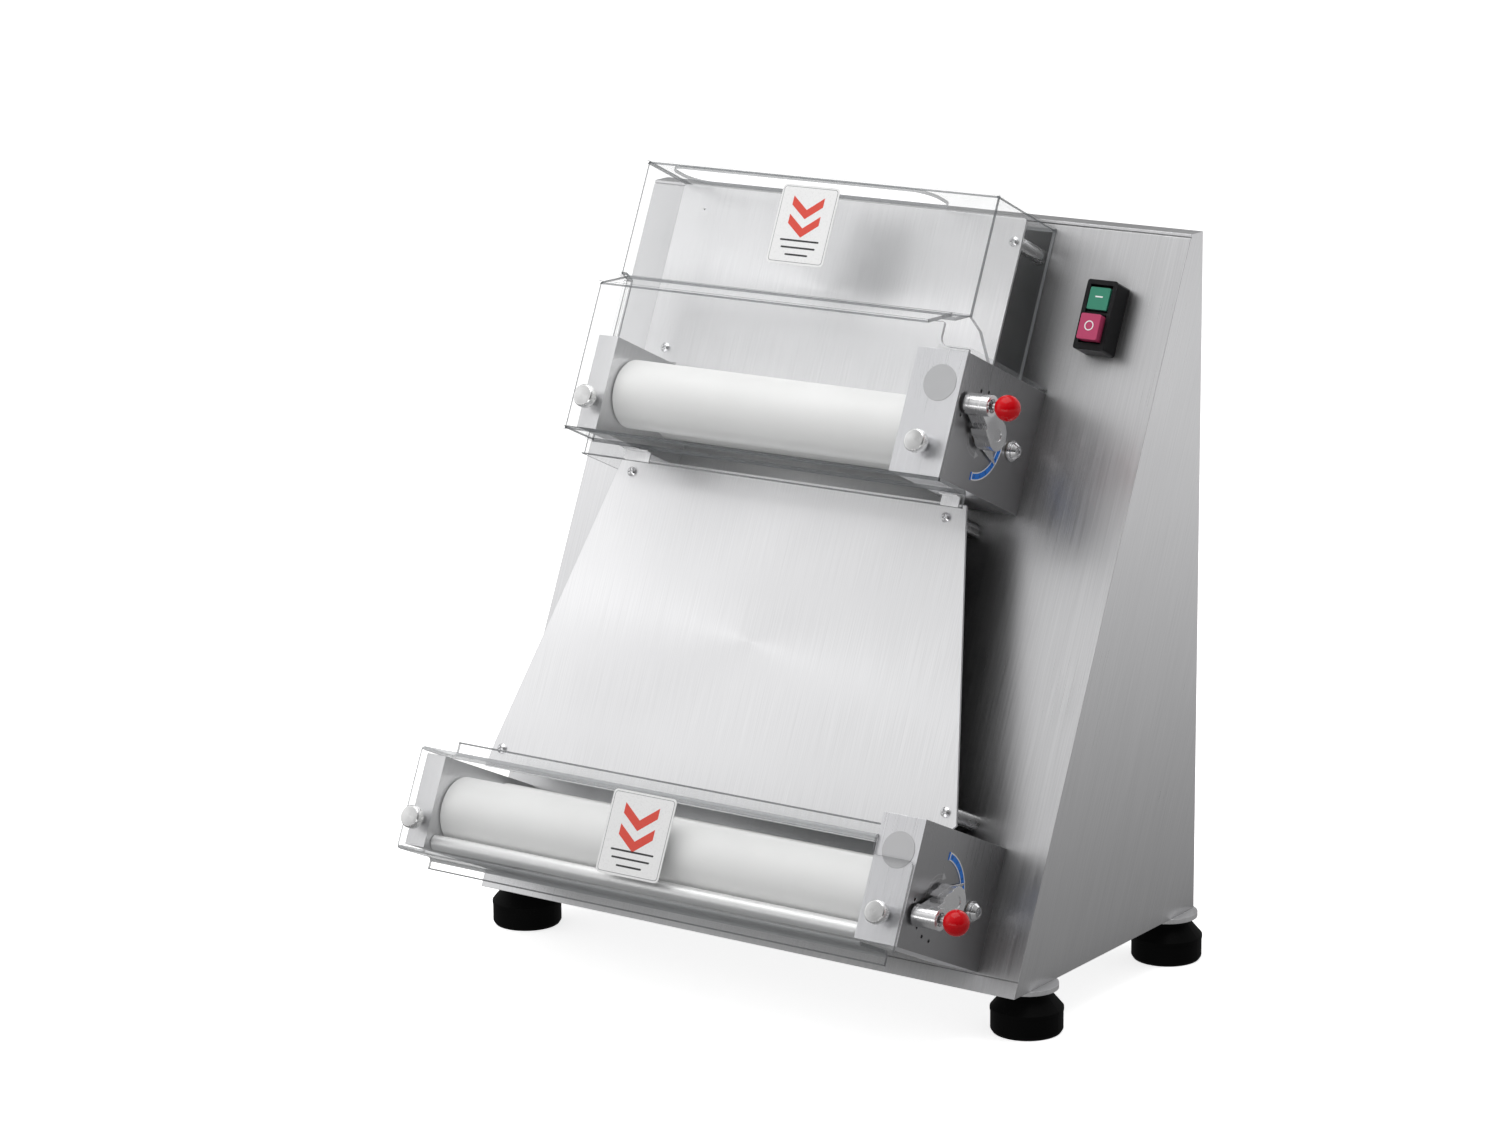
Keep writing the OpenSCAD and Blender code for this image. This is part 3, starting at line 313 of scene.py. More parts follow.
def make_materials():
    """Makes every material of the object; MATERIALS keeps them."""
    # the body gets painted shade in its hollows, strongest on its right
    brushed("body_steel", (0.68, 0.68, 0.69), 0.34, painted_hollow_shade=0.06)
    brushed("plate_steel", (0.84, 0.84, 0.85), 0.38)
    # the gear cases' sideways faces get painted shade
    brushed("case_steel", (0.77, 0.77, 0.79), 0.3, painted_side_shade=0.52)
    brushed("cast_aluminium", (0.76, 0.76, 0.77), 0.36)
    turned("turned_aluminium", (0.82, 0.82, 0.82), 0.24)
    moulded("roller_plastic", (0.9, 0.9, 0.89), 0.42, 500, 0.05, Subsurface_Weight=0.08,
            Subsurface_Radius=(0.004, 0.004, 0.004))
    turned("shaft_steel", (0.8, 0.8, 0.81), 0.16)
    turned("satin_rod", (0.88, 0.88, 0.88), 0.5)
    turned("screw_steel", (0.74, 0.74, 0.75), 0.2)
    turned("lever_steel", (0.8, 0.8, 0.81), 0.22)
    turned("block_bronze", (0.3, 0.24, 0.16), 0.4)
    turned("gear_steel", (0.42, 0.42, 0.43), 0.4)
    clear("clear_guard", (0.62, 0.64, 0.65), 0.06, 0.06, 0.12)
    # painted reflection: the guards' bends get tones of their own in place of the light their curves would bend
    # and reflect, paler on the lower guard, darker on the upper
    clear("bend_painted_pale_reflection", (0.4, 0.41, 0.42), 0.68, 0.2, 0.2, 0.3)
    clear("bend_painted_dark_reflection", (0.17, 0.18, 0.19), 0.76, 0.3, 0.2, 0.12)
    moulded("foot_rubber", (0.001, 0.001, 0.001), 0.55, 400, 0.3, Specular_IOR_Level=0.06)
    moulded("switch_black", (0.006, 0.006, 0.007), 0.35, Specular_IOR_Level=0.2)
    moulded("start_green", (0.04, 0.24, 0.155), 0.3, 700, 0.05, Specular_IOR_Level=0.3)
    moulded("stop_red", (0.48, 0.055, 0.14), 0.3, 700, 0.05, Specular_IOR_Level=0.3)
    moulded("ball_red", (0.6, 0.001, 0.006), 0.1, 300, 0.01, 0.02, Specular_IOR_Level=0.22)
    printed("scale_blue", (0.005, 0.2, 0.78))
    moulded("plug_grey", (0.5, 0.5, 0.51), 0.5, 900, 0.05)
    moulded("gland_black", (0.015, 0.015, 0.016), 0.5)
    enamel("drive_paint", (0.1, 0.12, 0.15))
    turned("chain_steel", (0.3, 0.3, 0.31), 0.45)
    printed("card_white", (0.86, 0.86, 0.86), 0.3)
    printed("print_red", (0.72, 0.06, 0.035), 0.35)
    printed("print_black", (0.02, 0.02, 0.022), 0.4)
    printed("print_grey", (0.3, 0.3, 0.31), 0.4)
    printed("print_white", (0.85, 0.85, 0.85), 0.4)
    clear("clear_edge", (0.3, 0.31, 0.32), 0.72, 0.15, 0.2)
    printed("etched_mark", (0.5, 0.5, 0.51), 0.5)
    spun("spun_face", (0.6, 0.6, 0.6))


make_materials()
SLOT_OF = {subpart["node"]: subpart["material_slot"] for subpart in frame["record"]["subparts"]}


def dress_cad():
    """Each node takes its slot's material; the guide rod's is a duller one of its own."""
    for name, obj in frame["nodes"].items():
        obj.data.materials.clear()
        look = "satin_rod" if name == "lower_guide_rod" else SLOT_OF[name]
        obj.data.materials.append(MATERIALS[look])


dress_cad()


# ---- pieces
def piece(name, bm, body, slot, *materials, bevel=0.0):
    """A finished mesh object that rides on a body; materials, where given, go by face index."""
    data = bpy.data.meshes.new(name)
    bmesh.ops.recalc_face_normals(bm, faces=bm.faces)
    bm.to_mesh(data)
    bm.free()
    obj = bpy.data.objects.new(name, data)
    bpy.context.scene.collection.objects.link(obj)
    for look in materials or (slot,):
        data.materials.append(MATERIALS[look])
    if bevel:
        soft = obj.modifiers.new("round", "BEVEL")
        soft.width, soft.segments = bevel, 2
        soft.limit_method, soft.angle_limit = "ANGLE", math.radians(35)
    data.shade_smooth()
    data.set_sharp_from_angle(angle=math.radians(40))
    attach(obj, body)
    return obj


def ring_points(cx, cy, r, a0, a1, count):
    """Points on an arc from angle a0 to a1."""
    return [(cx + r * math.cos(a0 + (a1 - a0) * i / (count - 1)),
             cy + r * math.sin(a0 + (a1 - a0) * i / (count - 1))) for i in range(count)]


def rounded(x0, x1, y0, y1, r, count=7):
    """Outline of a rectangle with round corners."""
    quarter = math.pi / 2
    centres = ((x1 - r, y0 + r), (x1 - r, y1 - r), (x0 + r, y1 - r), (x0 + r, y0 + r))
    points = []
    for k, (x, y) in enumerate(centres):
        points += ring_points(x, y, r, (k - 1) * quarter, k * quarter, count)
    return points


def slab(bm, outline, z0, z1, matrix, index=0):
    """A prism of an outline, in millimetres, standing along the matrix's Z."""
    low = [bm.verts.new(matrix @ Vector((x * MM, y * MM, z0 * MM))) for x, y in outline]
    high = [bm.verts.new(matrix @ Vector((x * MM, y * MM, z1 * MM))) for x, y in outline]
    faces = [bm.faces.new(high), bm.faces.new(low[::-1])]
    for i in range(len(outline)):
        j = (i + 1) % len(outline)
        faces.append(bm.faces.new((low[i], low[j], high[j], high[i])))
    for face in faces:
        face.material_index = index


CARD_CORNER, CARD_MARGIN, FRAME_LINE = 4, 1.6, 0.5
CARD_FACE, FRAME_FACE, FIELD_FACE, PRINT_FACE = 0.25, 0.29, 0.33, 0.4  # heights off the sheet


def card(name, x0, x1, s0, s1, d, body):
    """A plain white card with a thin grey frame, two feed chevrons and three plain bars."""
    bm = bmesh.new()
    width, height = x1 - x0, s1 - s0
    place = face_matrix((x0 + x1) / 2, (s0 + s1) / 2, d)
    layers = ((0, CARD_CORNER, 0.0, CARD_FACE, 0), (CARD_MARGIN, 2.8, CARD_FACE, FRAME_FACE, 1),
              (CARD_MARGIN + FRAME_LINE, 2.4, FRAME_FACE, FIELD_FACE, 0))
    for inset, corner, low, high, index in layers:
        right, top = width / 2 - inset, height / 2 - inset
        outline = rounded(-right, right, -top, top, corner)
        slab(bm, outline, low, high, place, index)
    arm, rise, thick = width * 0.27, width * 0.2, width * 0.14
    for k in (0, 1):
        top = height * 0.36 - k * width * 0.28
        chevron = [(-arm, top), (0, top - rise), (arm, top), (arm, top - thick), (0, top - rise - thick),
                   (-arm, top - thick)]
        slab(bm, chevron, FIELD_FACE, PRINT_FACE, place, 2)
    bar = 0.75
    for k, share in enumerate((0.34, 0.3, 0.2)):
        y = -height * 0.2 - k * height * 0.09
        half = width * share
        slab(bm, rounded(-half, half, y - bar, y + bar, 0.7, 3), FIELD_FACE, PRINT_FACE, place, 3)
    piece(name, bm, body, "plate_steel", "card_white", "print_grey", "print_red", "print_black")


# ---- clear guards: one bent sheet each, given by its outer panels as (x, s, d) corners
SHEET, BEND = 3.0, 3.0
HOOD_LEFT, HOOD_RIGHT, HOOD_TOP, HOOD_FRONT = -206.4, 141.4, 617.4, 96.8
HOOD_LOW, STEP_LOW = 517.5, 503.0
GUARD_FRONT, SKIRT = 129.8, 88.0
BULGE_LEFT, UPPER_FLOOR, UPPER_SKIRT = -200.4, 376.0, 364.5
TAB_LEFT, TAB_RIGHT, SHELF, CASE_RIGHT = 124.0, 140.0, 485.1, 168.0
MOUTH = (-191.4, 70.4, 44.0, 88.8, 18.0)  # left, right, back, front and corner radius
LOWER_LEFT, LOWER_TOP, LOWER_LIP, LOWER_FLOOR, LOWER_SKIRT = -263.4, 97.0, 109.0, 10.0, 0.5
LOWER_BAY_RIGHT, LOWER_CASE_TOP, LOWER_RIGHT = 187.5, 81.0, 226.0
LIP_INSET, LIP_SETBACK = 6, 5  # how far the lower lip and skirt keep from its left side's corner
FLOOR_PAST, CASE_CORNER = 8, 5  # the lower floor's reach past the bay, the case front's corner radius
FACE_GAP = 0.5  # the guards' back edges stand this far off the face
STEP_BACK = 514.5  # where the step's slope meets the skirt's plane
TAB_SLOPE, TAB_OUT = 510.5, 18  # the tab's lower edge, and how far it leans out
RIGHT_CUT = ((509.5, 74.8), (484.5, 46.8), (484.5, 0.5))  # the right side's lower edge, (s, d)


def notch(x0, x1, top, low):
    """From a tab's top right corner down and round to a lower ledge that runs right."""
    outer, inner = 2, 8
    corner = ring_points(x0 - outer, top - outer, outer, math.pi / 2, 0, 4)
    sweep = ring_points(x0 + inner, low + inner, inner, math.pi, 1.5 * math.pi, 6)
    return corner + sweep + [(x1, low)]


def upper_panels():
    left, right, top, front, low = HOOD_LEFT, HOOD_RIGHT, HOOD_TOP, HOOD_FRONT, HOOD_LOW
    bulge, out, floor = BULGE_LEFT, GUARD_FRONT, UPPER_FLOOR
    bulge_face = [(bulge, STEP_LOW), (TAB_LEFT, STEP_LOW)]
    bulge_face += notch(TAB_RIGHT, CASE_RIGHT, STEP_LOW, SHELF - 2)
    bulge_face += [(CASE_RIGHT, floor), (bulge, floor)]
    hood_front = [(left, top, front), (right, top, front), (right, low, front), (TAB_LEFT, low, front),
                  (bulge, low, front), (left, low, front)]
    left_side = [(left, top, FACE_GAP), (left, top, front), (left, low, front), (left, STEP_BACK, SKIRT),
                 (left, floor, SKIRT), (left, UPPER_SKIRT, SKIRT), (left, UPPER_SKIRT, FACE_GAP)]
    right_side = [(right, top, FACE_GAP), (right, top, front), (right, low, front)]
    right_side += [(right, s, d) for s, d in RIGHT_CUT]
    step = [(bulge, low, front), (TAB_LEFT, low, front), (TAB_LEFT, STEP_LOW, out), (bulge, STEP_LOW, out)]
    step_left = [(left, low, front), (bulge, low, front), (bulge, STEP_BACK, SKIRT),
                 (left, STEP_BACK, SKIRT)]
    tab = [(TAB_LEFT, low, front), (right, low, front), (right - 2, TAB_SLOPE, front + TAB_OUT),
           (TAB_LEFT + 2, TAB_SLOPE, front + TAB_OUT)]
    bulge_left = [(bulge, low, front), (bulge, STEP_LOW, out), (bulge, floor, out), (bulge, floor, SKIRT),
                  (bulge, STEP_BACK, SKIRT)]
    rim_left = [(left, STEP_BACK, SKIRT), (bulge, STEP_BACK, SKIRT), (bulge, floor, SKIRT),
                (left, floor, SKIRT)]
    bulge_floor = [(bulge, floor, out), (CASE_RIGHT, floor, out), (CASE_RIGHT, floor, SKIRT),
                   (bulge, floor, SKIRT)]
    skirt = [(left, floor, SKIRT), (bulge, floor, SKIRT), (CASE_RIGHT, floor, SKIRT),
             (CASE_RIGHT, UPPER_SKIRT, SKIRT), (left, UPPER_SKIRT, SKIRT)]
    return [hood_front, left_side, right_side, step, step_left, tab, [(x, s, out) for x, s in bulge_face],
            bulge_left, rim_left, bulge_floor, skirt]


def lower_panels():
    left, right, front, top, floor = LOWER_LEFT, LOWER_BAY_RIGHT, GUARD_FRONT, LOWER_TOP, LOWER_FLOOR
    lip, back, floor_right = left + LIP_INSET, SKIRT + LIP_SETBACK, right + FLOOR_PAST
    corner = ring_points(LOWER_RIGHT - CASE_CORNER, LOWER_CASE_TOP - CASE_CORNER, CASE_CORNER,
                         math.pi / 2, 0, 5)
    face = [(left, top), (right, top), (right, LOWER_CASE_TOP)] + corner
    face += [(LOWER_RIGHT, floor), (floor_right, floor), (left, floor)]
    roof = [(left, top, front), (right, top, front), (right, top, SKIRT), (lip, top, SKIRT),
            (lip, top, back), (left, top, back)]
    upper_lip = [(lip, top, SKIRT), (right, top, SKIRT), (right, LOWER_LIP, SKIRT), (lip, LOWER_LIP, SKIRT)]
    bay_floor = [(left, floor, front), (floor_right, floor, front), (floor_right, floor, SKIRT),
                 (lip, floor, SKIRT), (lip, floor, back), (left, floor, back)]
    skirt = [(lip, floor, SKIRT), (floor_right, floor, SKIRT), (floor_right, LOWER_SKIRT, SKIRT),
             (lip, LOWER_SKIRT, SKIRT)]
    left_side = [(left, top, front), (left, floor, front), (left, floor, back), (left, top, back)]
    return [[(x, s, front) for x, s in face], roof, upper_lip, bay_floor, skirt, left_side]


def guard(name, node, panels, painted_bend_look, roof=None):
    """Builds a guard from its panels: bends rounded and given a painted reflection tone, sheet thickness added
    inwards, dark cut edges.
    """
    bm = bmesh.new()
    for corners in panels:
        bm.faces.new([bm.verts.new(at(*c)) for c in corners])
    if roof:
        roof(bm)
    bmesh.ops.remove_doubles(bm, verts=bm.verts, dist=0.00005)
    bmesh.ops.recalc_face_normals(bm, faces=bm.faces)
    centre = sum((vert.co for vert in bm.verts), Vector()) / len(bm.verts)
    outward = sum((face.calc_center_median() - centre).dot(face.normal) * face.calc_area()
                  for face in bm.faces)
    if outward < 0:
        bmesh.ops.reverse_faces(bm, faces=bm.faces)
    least = math.radians(15)
    bends = [edge for edge in bm.edges if len(edge.link_faces) == 2 and edge.calc_face_angle(0) > least]
    made = bmesh.ops.bevel(bm, geom=bends, offset=BEND * MM, segments=4, profile=0.5,
                           affect="EDGES", clamp_overlap=True)
    # the bends take the painted reflection tone
    for face in made["faces"]:
        face.material_index = 2
    data = bpy.data.meshes.new(name)
    bm.to_mesh(data)
    bm.free()
    obj = bpy.data.objects.new(name, data)
    bpy.context.scene.collection.objects.link(obj)
    for look in ("clear_guard", "clear_edge", painted_bend_look):
        data.materials.append(MATERIALS[look])
    data.shade_smooth()
    data.set_sharp_from_angle(angle=math.radians(40))
    thick = obj.modifiers.new("sheet", "SOLIDIFY")
    thick.thickness, thick.offset, thick.use_even_offset = SHEET * MM, -1, False
    thick.use_quality_normals = True
    thick.material_offset_rim = 1
    soft = obj.modifiers.new("soft_cut", "BEVEL")
    soft.width, soft.segments = 0.4 * MM, 2
    soft.limit_method, soft.angle_limit = "ANGLE", math.radians(60)
    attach(obj, node)
    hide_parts(node)


def hood_roof(bm):
    """The hood's top panel, with its round-cornered feed mouth."""
    x0, x1, d0, d1, corner = MOUTH
    back_left, back_right = (x0 + corner, FACE_GAP), (x1 - corner, FACE_GAP)
    mouth = rounded(x0, x1, d0, d1, corner, 8)
    outer = [back_left, (HOOD_LEFT, FACE_GAP), (HOOD_LEFT, HOOD_FRONT), (HOOD_RIGHT, HOOD_FRONT),
             (HOOD_RIGHT, FACE_GAP), back_right]
    for points in (outer + mouth, [back_left, back_right, mouth[0], mouth[-1]]):
        bm.faces.new([bm.verts.new(at(x, HOOD_TOP, d)) for x, d in points])


guard("upper_guard_sheet", "upper_guard", upper_panels(), "bend_painted_dark_reflection", hood_roof)
guard("lower_guard_sheet", "lower_guard", lower_panels(), "bend_painted_pale_reflection")


def gear_cover_shelf():
    """The guard's strip that lies over the upper gear case."""
    bm = bmesh.new()
    place = Matrix.Translation(at(0, SHELF, 0)) @ Matrix((RIGHT, -OUT, UP)).transposed().to_4x4()
    left, front, back = 137, SHEET - GUARD_FRONT, -FACE_GAP
    slab(bm, [(left, front), (CASE_RIGHT, front), (CASE_RIGHT, back), (left, back)], -SHEET, 0, place)
    piece("upper_guard_shelf", bm, "upper_guard", "clear_guard", bevel=0.0008)


gear_cover_shelf()


def cut_edge(name, x0, x1, s0, s1, body):
    """The edge-lit line a sheet shows along a free edge of its skirt or lip."""
    proud = 0.06
    bm = bmesh.new()
    outline = [(x0, s0), (x1, s0), (x1, s1), (x0, s1)]
    slab(bm, outline, -SHEET - proud, proud, face_matrix(0, 0, SKIRT))
    piece(name, bm, body, "clear_guard", "clear_edge", bevel=0.0003)


LIP_LINE, EDGE_LINE, GLUE = 1.3, 1.1, 0.1  # heights of the lit edges, and of the glue under a card
lip_left = LOWER_LEFT + LIP_INSET
cut_edge("lower_guard_lip_line", lip_left, LOWER_BAY_RIGHT, LOWER_LIP - LIP_LINE, LOWER_LIP,
         "lower_guard")
cut_edge("lower_guard_skirt_line", lip_left, LOWER_BAY_RIGHT + FLOOR_PAST, LOWER_SKIRT,
         LOWER_SKIRT + EDGE_LINE, "lower_guard")
cut_edge("upper_guard_skirt_line", HOOD_LEFT, CASE_RIGHT, UPPER_SKIRT, UPPER_SKIRT + EDGE_LINE,
         "upper_guard")
card("upper_card", -64, -8, 542, 609, HOOD_FRONT + GLUE, "upper_guard")
card("lower_card", -62, 0, 24.5, 93, GUARD_FRONT + GLUE, "lower_guard")


def clip(name, x0, x1):
    """A folded steel clip on the upper guard's skirt."""
    bm = bmesh.new()
    up_face, steel, low, high = 369, 1.1, -4.4, 4.6
    place = face_matrix((x0 + x1) / 2, up_face, SKIRT)
    half = (x1 - x0) / 2
    slab(bm, rounded(-half, half, low, high, 0.8, 3), 0.05, steel, place)
    slab(bm, rounded(-half, half, high - 1.2, high, 0.5, 3), steel, 6.5, place)
    piece(name, bm, "upper_guard", "plate_steel", bevel=0.0002)


clip("guard_clip_left", -161, -136)
clip("guard_clip_right", 149, 166)


# ---- thumb knobs
def lathe(bm, profile, count, tooth, tooth_rows):
    """Turns a profile of (radius, height) in millimetres round Z; tooth_rows are knurled."""
    rows = []
    for k, (radius, z) in enumerate(profile):
        row = []
        for i in range(count):
            angle = 2 * math.pi * i / count
            cut = radius - (tooth if k in tooth_rows and i % 2 else 0)
            row.append(bm.verts.new((cut * MM * math.cos(angle), cut * MM * math.sin(angle), z * MM)))
        rows.append(row)
    for low, high in zip(rows, rows[1:]):
        for i in range(count):
            j = (i + 1) % count
            bm.faces.new((low[i], low[j], high[j], high[i]))
    bm.faces.new(rows[0][::-1])
    bm.faces.new(rows[-1]).material_index = 1


KNOB_PROFILE = [(4.8, 0.05), (4.8, 4.6), (8.6, 4.9), (9.5, 5.8), (9.5, 11.4), (9.0, 12.2), (8.2, 12.9),
                (7.9, 12.95)]  # radius, and height over the guard


def knob(name):
    """A knurled thumb knob on a stem, with a faced-off end."""
    joint = JOINTS[name + "_turn"]
    s, d = face_place(joint["pos_m"])
    x = joint["pos_m"][0] / MM
    base = GUARD_FRONT - d
    bm = bmesh.new()
    lathe(bm, [(r, base + z) for r, z in KNOB_PROFILE], 96, 0.35, (3, 4))
    bmesh.ops.recalc_face_normals(bm, faces=bm.faces)
    data = bpy.data.meshes.new(name + "_turned")
    bm.to_mesh(data)
    bm.free()
    obj = bpy.data.objects.new(name + "_turned", data)
    bpy.context.scene.collection.objects.link(obj)
    obj.matrix_world = face_matrix(x, s, d)
    data.materials.append(MATERIALS["turned_aluminium"])
    data.materials.append(MATERIALS["spun_face"])
    data.shade_smooth()
    data.set_sharp_from_angle(angle=math.radians(30))
    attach(obj, name)
    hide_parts(name)


for knob_name in ("upper_knob_left", "upper_knob_right", "lower_knob_left", "lower_knob_right"):
    knob(knob_name)


# ---- dials: white border and numbers on each scale, and an etched turning arrow
SCALE_IN, SCALE_OUT, BORDER = 31.1, 37.7, 1.0
DIGIT_RADIUS, DIGIT_SIZE, DIGITS = 34.4, 3.4, 6
ARROW_IN, ARROW_OUT, ARROW_LINE = 16.0, 19.2, 0.35
ARROW_HEAD = (14.6, 20.8, 17.8)  # radii of its two corners and its tip
BORDER_LOW, BORDER_HIGH, DIGIT_HIGH = 0.41, 0.5, 0.44  # heights off the case's side
ARROW_LOW, ARROW_HIGH = 0.02, 0.08


def band(bm, r0, r1, a0, a1, z0, z1, matrix, index, count=24):
    """A flat arc between two radii and two angles."""
    outer = ring_points(0, 0, r1, a0, a1, count)
    inner = ring_points(0, 0, r0, a1, a0, count)
    slab(bm, outer + inner, z0, z1, matrix, index)


def number(text, matrix):
    """A printed digit's mesh."""
    curve = bpy.data.curves.new("digit", "FONT")
    curve.body, curve.size, curve.align_x, curve.align_y = text, DIGIT_SIZE * MM, "CENTER", "CENTER"
    curve.extrude = 0.02 * MM
    obj = bpy.data.objects.new("digit", curve)
    bpy.context.scene.collection.objects.link(obj)
    bpy.context.view_layer.update()
    data = bpy.data.meshes.new_from_object(obj.evaluated_get(bpy.context.evaluated_depsgraph_get()))
    bpy.data.objects.remove(obj)
    data.transform(matrix)
    return data


def dial(unit, sweep, arrow_sweep):
    """Sweeps are first and last angles, in degrees, from the outward direction to the face's top."""
    pivot = JOINTS[unit + "_lever_turn"]["pos_m"]
    s, d = face_place(pivot)
    case_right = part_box(unit + "_case")[1].x / MM
    side = OUT.cross(UP)
    place = Matrix.Translation(at(case_right, s, d)) @ Matrix((OUT, UP, side)).transposed().to_4x4()
    lift = 1 if side.x > 0 else -1
    a0, a1 = (math.radians(a) for a in sweep)
    turn = 1 if a1 > a0 else -1
    end = 0.03
    bm = bmesh.new()
    z0, z1 = sorted((BORDER_LOW * lift, BORDER_HIGH * lift))
    for radius in (SCALE_IN, SCALE_OUT - BORDER):
        band(bm, radius, radius + BORDER, a0, a1, z0, z1, place, 0)
    for a in (a0, a1 - turn * end):
        band(bm, SCALE_IN + BORDER, SCALE_OUT - BORDER, a, a + turn * end, z0, z1, place, 0, 3)
    piece(unit + "_dial_border", bm, "cabinet", "scale_blue", "print_white")
    for k in range(DIGITS):
        a = a0 + (a1 - a0) * (k + 0.5) / DIGITS
        spot = Vector((DIGIT_RADIUS * math.cos(a), DIGIT_RADIUS * math.sin(a), DIGIT_HIGH * lift)) * MM
        spin = Matrix.Rotation(a - math.pi / 2, 4, "Z")
        flip = Matrix.Rotation(0 if lift > 0 else math.pi, 4, "Y")
        data = number(str(k), place @ Matrix.Translation(spot) @ spin @ flip)
        data.name = f"{unit}_dial_number_{k}"
        digit = bpy.data.objects.new(data.name, data)
        bpy.context.scene.collection.objects.link(digit)
        data.materials.clear()
        data.materials.append(MATERIALS["print_black"])
        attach(digit, "cabinet")
    bm = bmesh.new()
    b0, b1 = (math.radians(a) for a in arrow_sweep)
    e0, e1 = sorted((ARROW_LOW * lift, ARROW_HIGH * lift))
    for radius in (ARROW_IN, ARROW_OUT):
        band(bm, radius, radius + ARROW_LINE, b0, b1, e0, e1, place, 0)
    tip = b1 + (0.3 if b1 > b0 else -0.3)
    head = [(r * math.cos(a), r * math.sin(a)) for r, a in zip(ARROW_HEAD, (b1, b1, tip))]
    slab(bm, head, e0, e1, place)
    piece(unit + "_turn_arrow", bm, "cabinet", "case_steel", "etched_mark")


dial("upper", (-94, -178), (-12, -92))
dial("lower", (94, 178), (-8, 88))


# ---- switch marks
START_FACE, STOP_FACE, MARK = 20.85, 26.05, 0.12  # the buttons' fronts off the face, a mark's height


def button_centre(node):
    """(x, s) of a button's middle."""
    low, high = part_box(node)
    corners = [face_place((0, y, z)) for y in (low.y, high.y) for z in (low.z, high.z)]
    return (low.x + high.x) / 2 / MM, sum(c[0] for c in corners) / 4


def switch_marks():
    """A bar on the start button and a ring on the stop button."""
    x, s = button_centre("start_button")
    bm = bmesh.new()
    slab(bm, rounded(-3.4, 3.4, -0.6, 0.6, 0.3, 3), 0, MARK, face_matrix(x, s + 0.6, START_FACE))
    piece("start_mark", bm, "start_button", "start_green", "print_white")
    s = button_centre("stop_button")[1]
    bm = bmesh.new()
    nearly_full = 2 * math.pi * 0.999
    band(bm, 3.2, 4.1, 0, nearly_full, 0, MARK, face_matrix(x, s, STOP_FACE), 0, 40)
    piece("stop_mark", bm, "stop_button", "stop_red", "print_white")


switch_marks()


# ---- studio
def stage_plane(name, half, matrix, material):
    """A plain square of the studio, half its width given."""
    bm = bmesh.new()
    bmesh.ops.create_grid(bm, x_segments=1, y_segments=1, size=half)
    data = bpy.data.meshes.new(name)
    bm.to_mesh(data)
    bm.free()
    obj = bpy.data.objects.new(name, data)
    obj.matrix_world = matrix
    bpy.context.scene.collection.objects.link(obj)
    data.materials.append(material)


def floor_material():
    """Pale to the eye; in reflections it is dim close to the object and light far off."""
    look = Shader("floor_pale", (0.9, 0.9, 0.9), 0.0, 0.9)
    look.main.inputs["Emission Color"].default_value = (1, 1, 1, 1)
    look.main.inputs["Emission Strength"].default_value = 0.75
    far = look.node("ShaderNodeEmission")
    coords = look.node("ShaderNodeTexCoord")
    length = look.node("ShaderNodeVectorMath", operation="LENGTH")
    look.join(coords.outputs["Object"], length.inputs[0])
    look.join(look.spread(length.outputs["Value"], 0.24, 0.86, 0.3, 2.4), far.inputs["Strength"])
    path = look.node("ShaderNodeLightPath")
    mix = look.node("ShaderNodeMixShader")
    look.join(path.outputs["Is Camera Ray"], mix.inputs["Fac"])
    look.join(far.outputs["Emission"], mix.inputs[1])
    look.join(look.main.outputs["BSDF"], mix.inputs[2])
    look.join(mix.outputs["Shader"], look.nodes["Material Output"].inputs["Surface"])
    return look.material


def area(name, place, target, size, power):
    """A rectangular light at a place, turned to a target."""
    data = bpy.data.lights.new(name, "AREA")
    data.shape, data.size, data.size_y, data.energy = "RECTANGLE", size[0], size[1], power
    obj = bpy.data.objects.new(name, data)
    obj.location = place
    obj.rotation_euler = (Vector(target) - Vector(place)).to_track_quat("-Z", "Y").to_euler()
    bpy.context.scene.collection.objects.link(obj)


# each glow: direction it comes from, brightness, and the cosines where it starts and is full
GLOWS = [((-0.75, -0.55, 0.42), 0.5, 0.45, 0.97), ((0.0, -0.1, 1.0), 0.5, 0.2, 1.0),
         ((0.55, 0.8, 0.0), 0.75, 0.5, 0.98), ((-1.0, 0.2, 0.1), 0.5, 0.3, 1.0)]
DIM = 0.06  # the room's own brightness


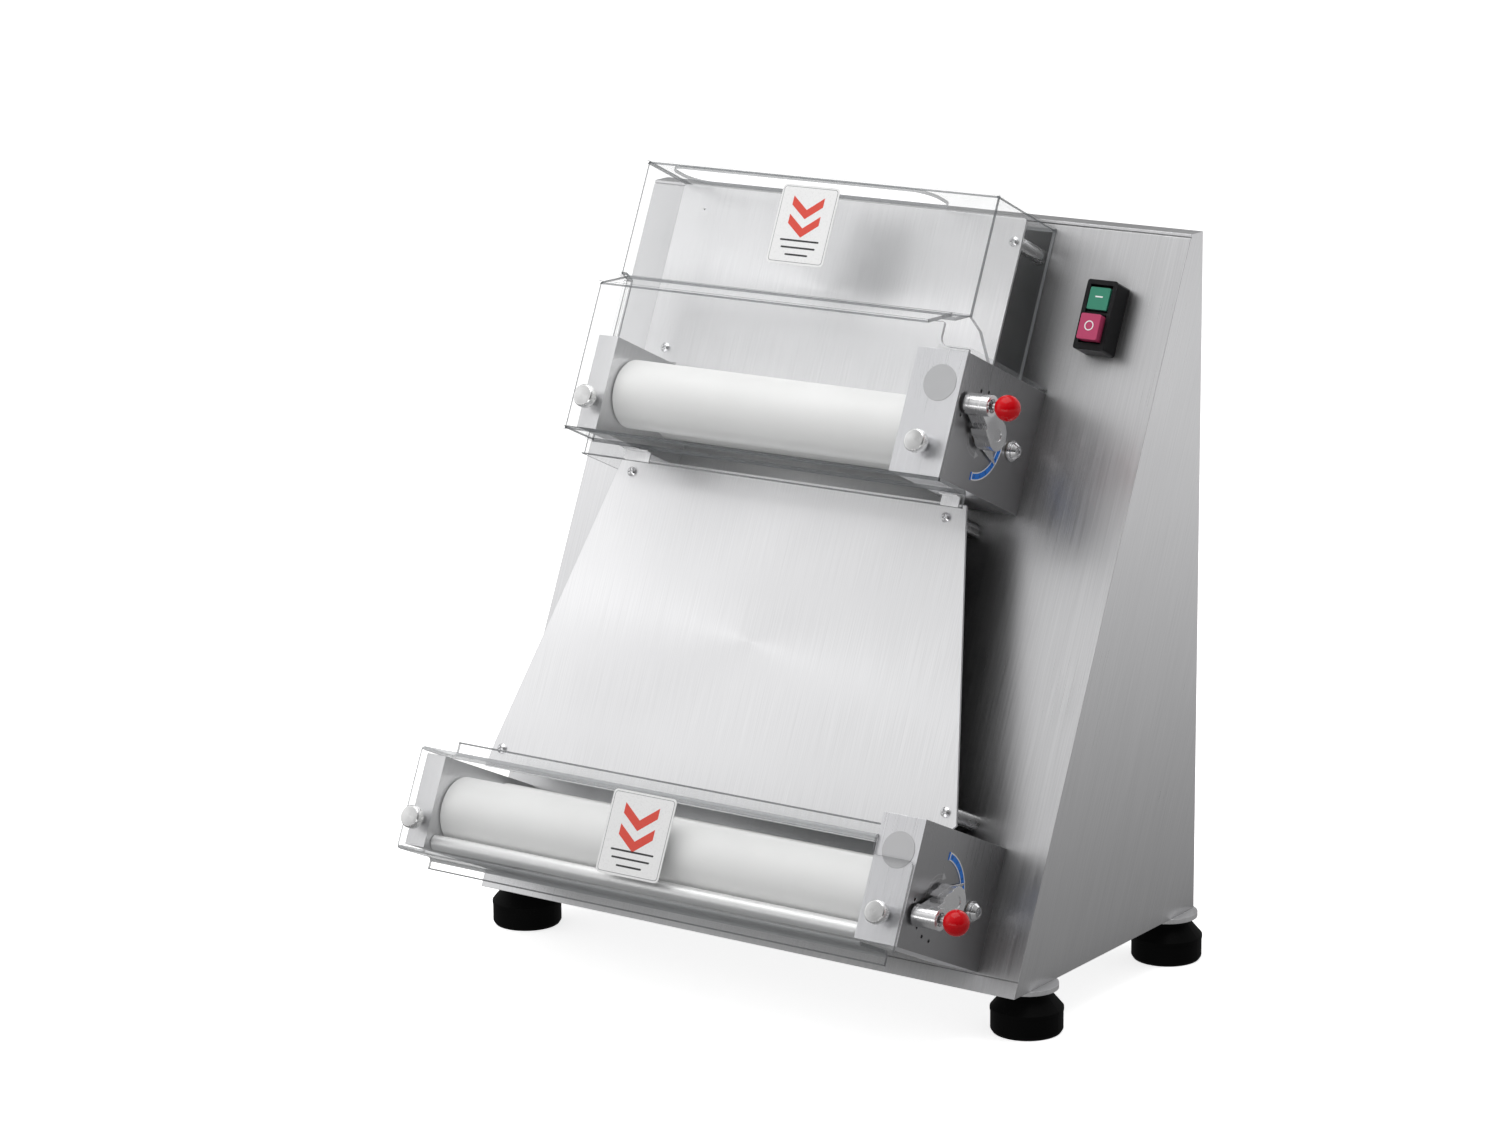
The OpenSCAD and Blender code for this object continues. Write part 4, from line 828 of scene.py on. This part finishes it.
def make_world():
    """White to the eye; what lights and is reflected is a dim room with a few broad soft glows."""
    world = bpy.data.worlds.new("studio")
    bpy.context.scene.world = world
    world.use_nodes = True
    nodes, links = world.node_tree.nodes, world.node_tree.links
    seen = nodes["Background"]
    seen.inputs["Color"].default_value = (1, 1, 1, 1)
    coords = nodes.new("ShaderNodeTexCoord")
    total = None
    for way, strength, start, full in GLOWS:
        dot = nodes.new("ShaderNodeVectorMath")
        dot.operation = "DOT_PRODUCT"
        dot.inputs[1].default_value = Vector(way).normalized()
        links.new(coords.outputs["Generated"], dot.inputs[0])
        ramp = nodes.new("ShaderNodeMapRange")
        ramp.interpolation_type = "SMOOTHSTEP"
        ramp.inputs["From Min"].default_value, ramp.inputs["From Max"].default_value = start, full
        ramp.inputs["To Min"].default_value, ramp.inputs["To Max"].default_value = 0, strength
        links.new(dot.outputs["Value"], ramp.inputs["Value"])
        add = nodes.new("ShaderNodeMath")
        add.inputs[1].default_value = DIM
        if total is not None:
            links.new(total, add.inputs[1])
        links.new(ramp.outputs["Result"], add.inputs[0])
        total = add.outputs[0]
    lit = nodes.new("ShaderNodeBackground")
    links.new(total, lit.inputs["Strength"])
    path = nodes.new("ShaderNodeLightPath")
    mix = nodes.new("ShaderNodeMixShader")
    links.new(path.outputs["Is Camera Ray"], mix.inputs["Fac"])
    links.new(lit.outputs["Background"], mix.inputs[1])
    links.new(seen.outputs["Background"], mix.inputs[2])
    links.new(mix.outputs["Shader"], nodes["World Output"].inputs["Surface"])


make_world()
FLOOR_HALF, BELOW_FEET = 12, 0.0002
stage_plane("floor", FLOOR_HALF, Matrix.Translation((0, 0, -BELOW_FEET)), floor_material())
area("key", (-1.55, -1.25, 1.0), (0, -0.1, 0.3), (1.1, 1.5), 3.2)
area("low_front", (0.1, -1.7, 0.12), (0, 0, 0.25), (2.0, 0.5), 5)
area("top", (-0.1, -0.2, 2.6), (0, 0, 0.3), (2.4, 2.4), 40)
view = bpy.context.scene.view_settings
view.view_transform, view.look, view.exposure, view.gamma = "Standard", "None", 0.0, 1.0
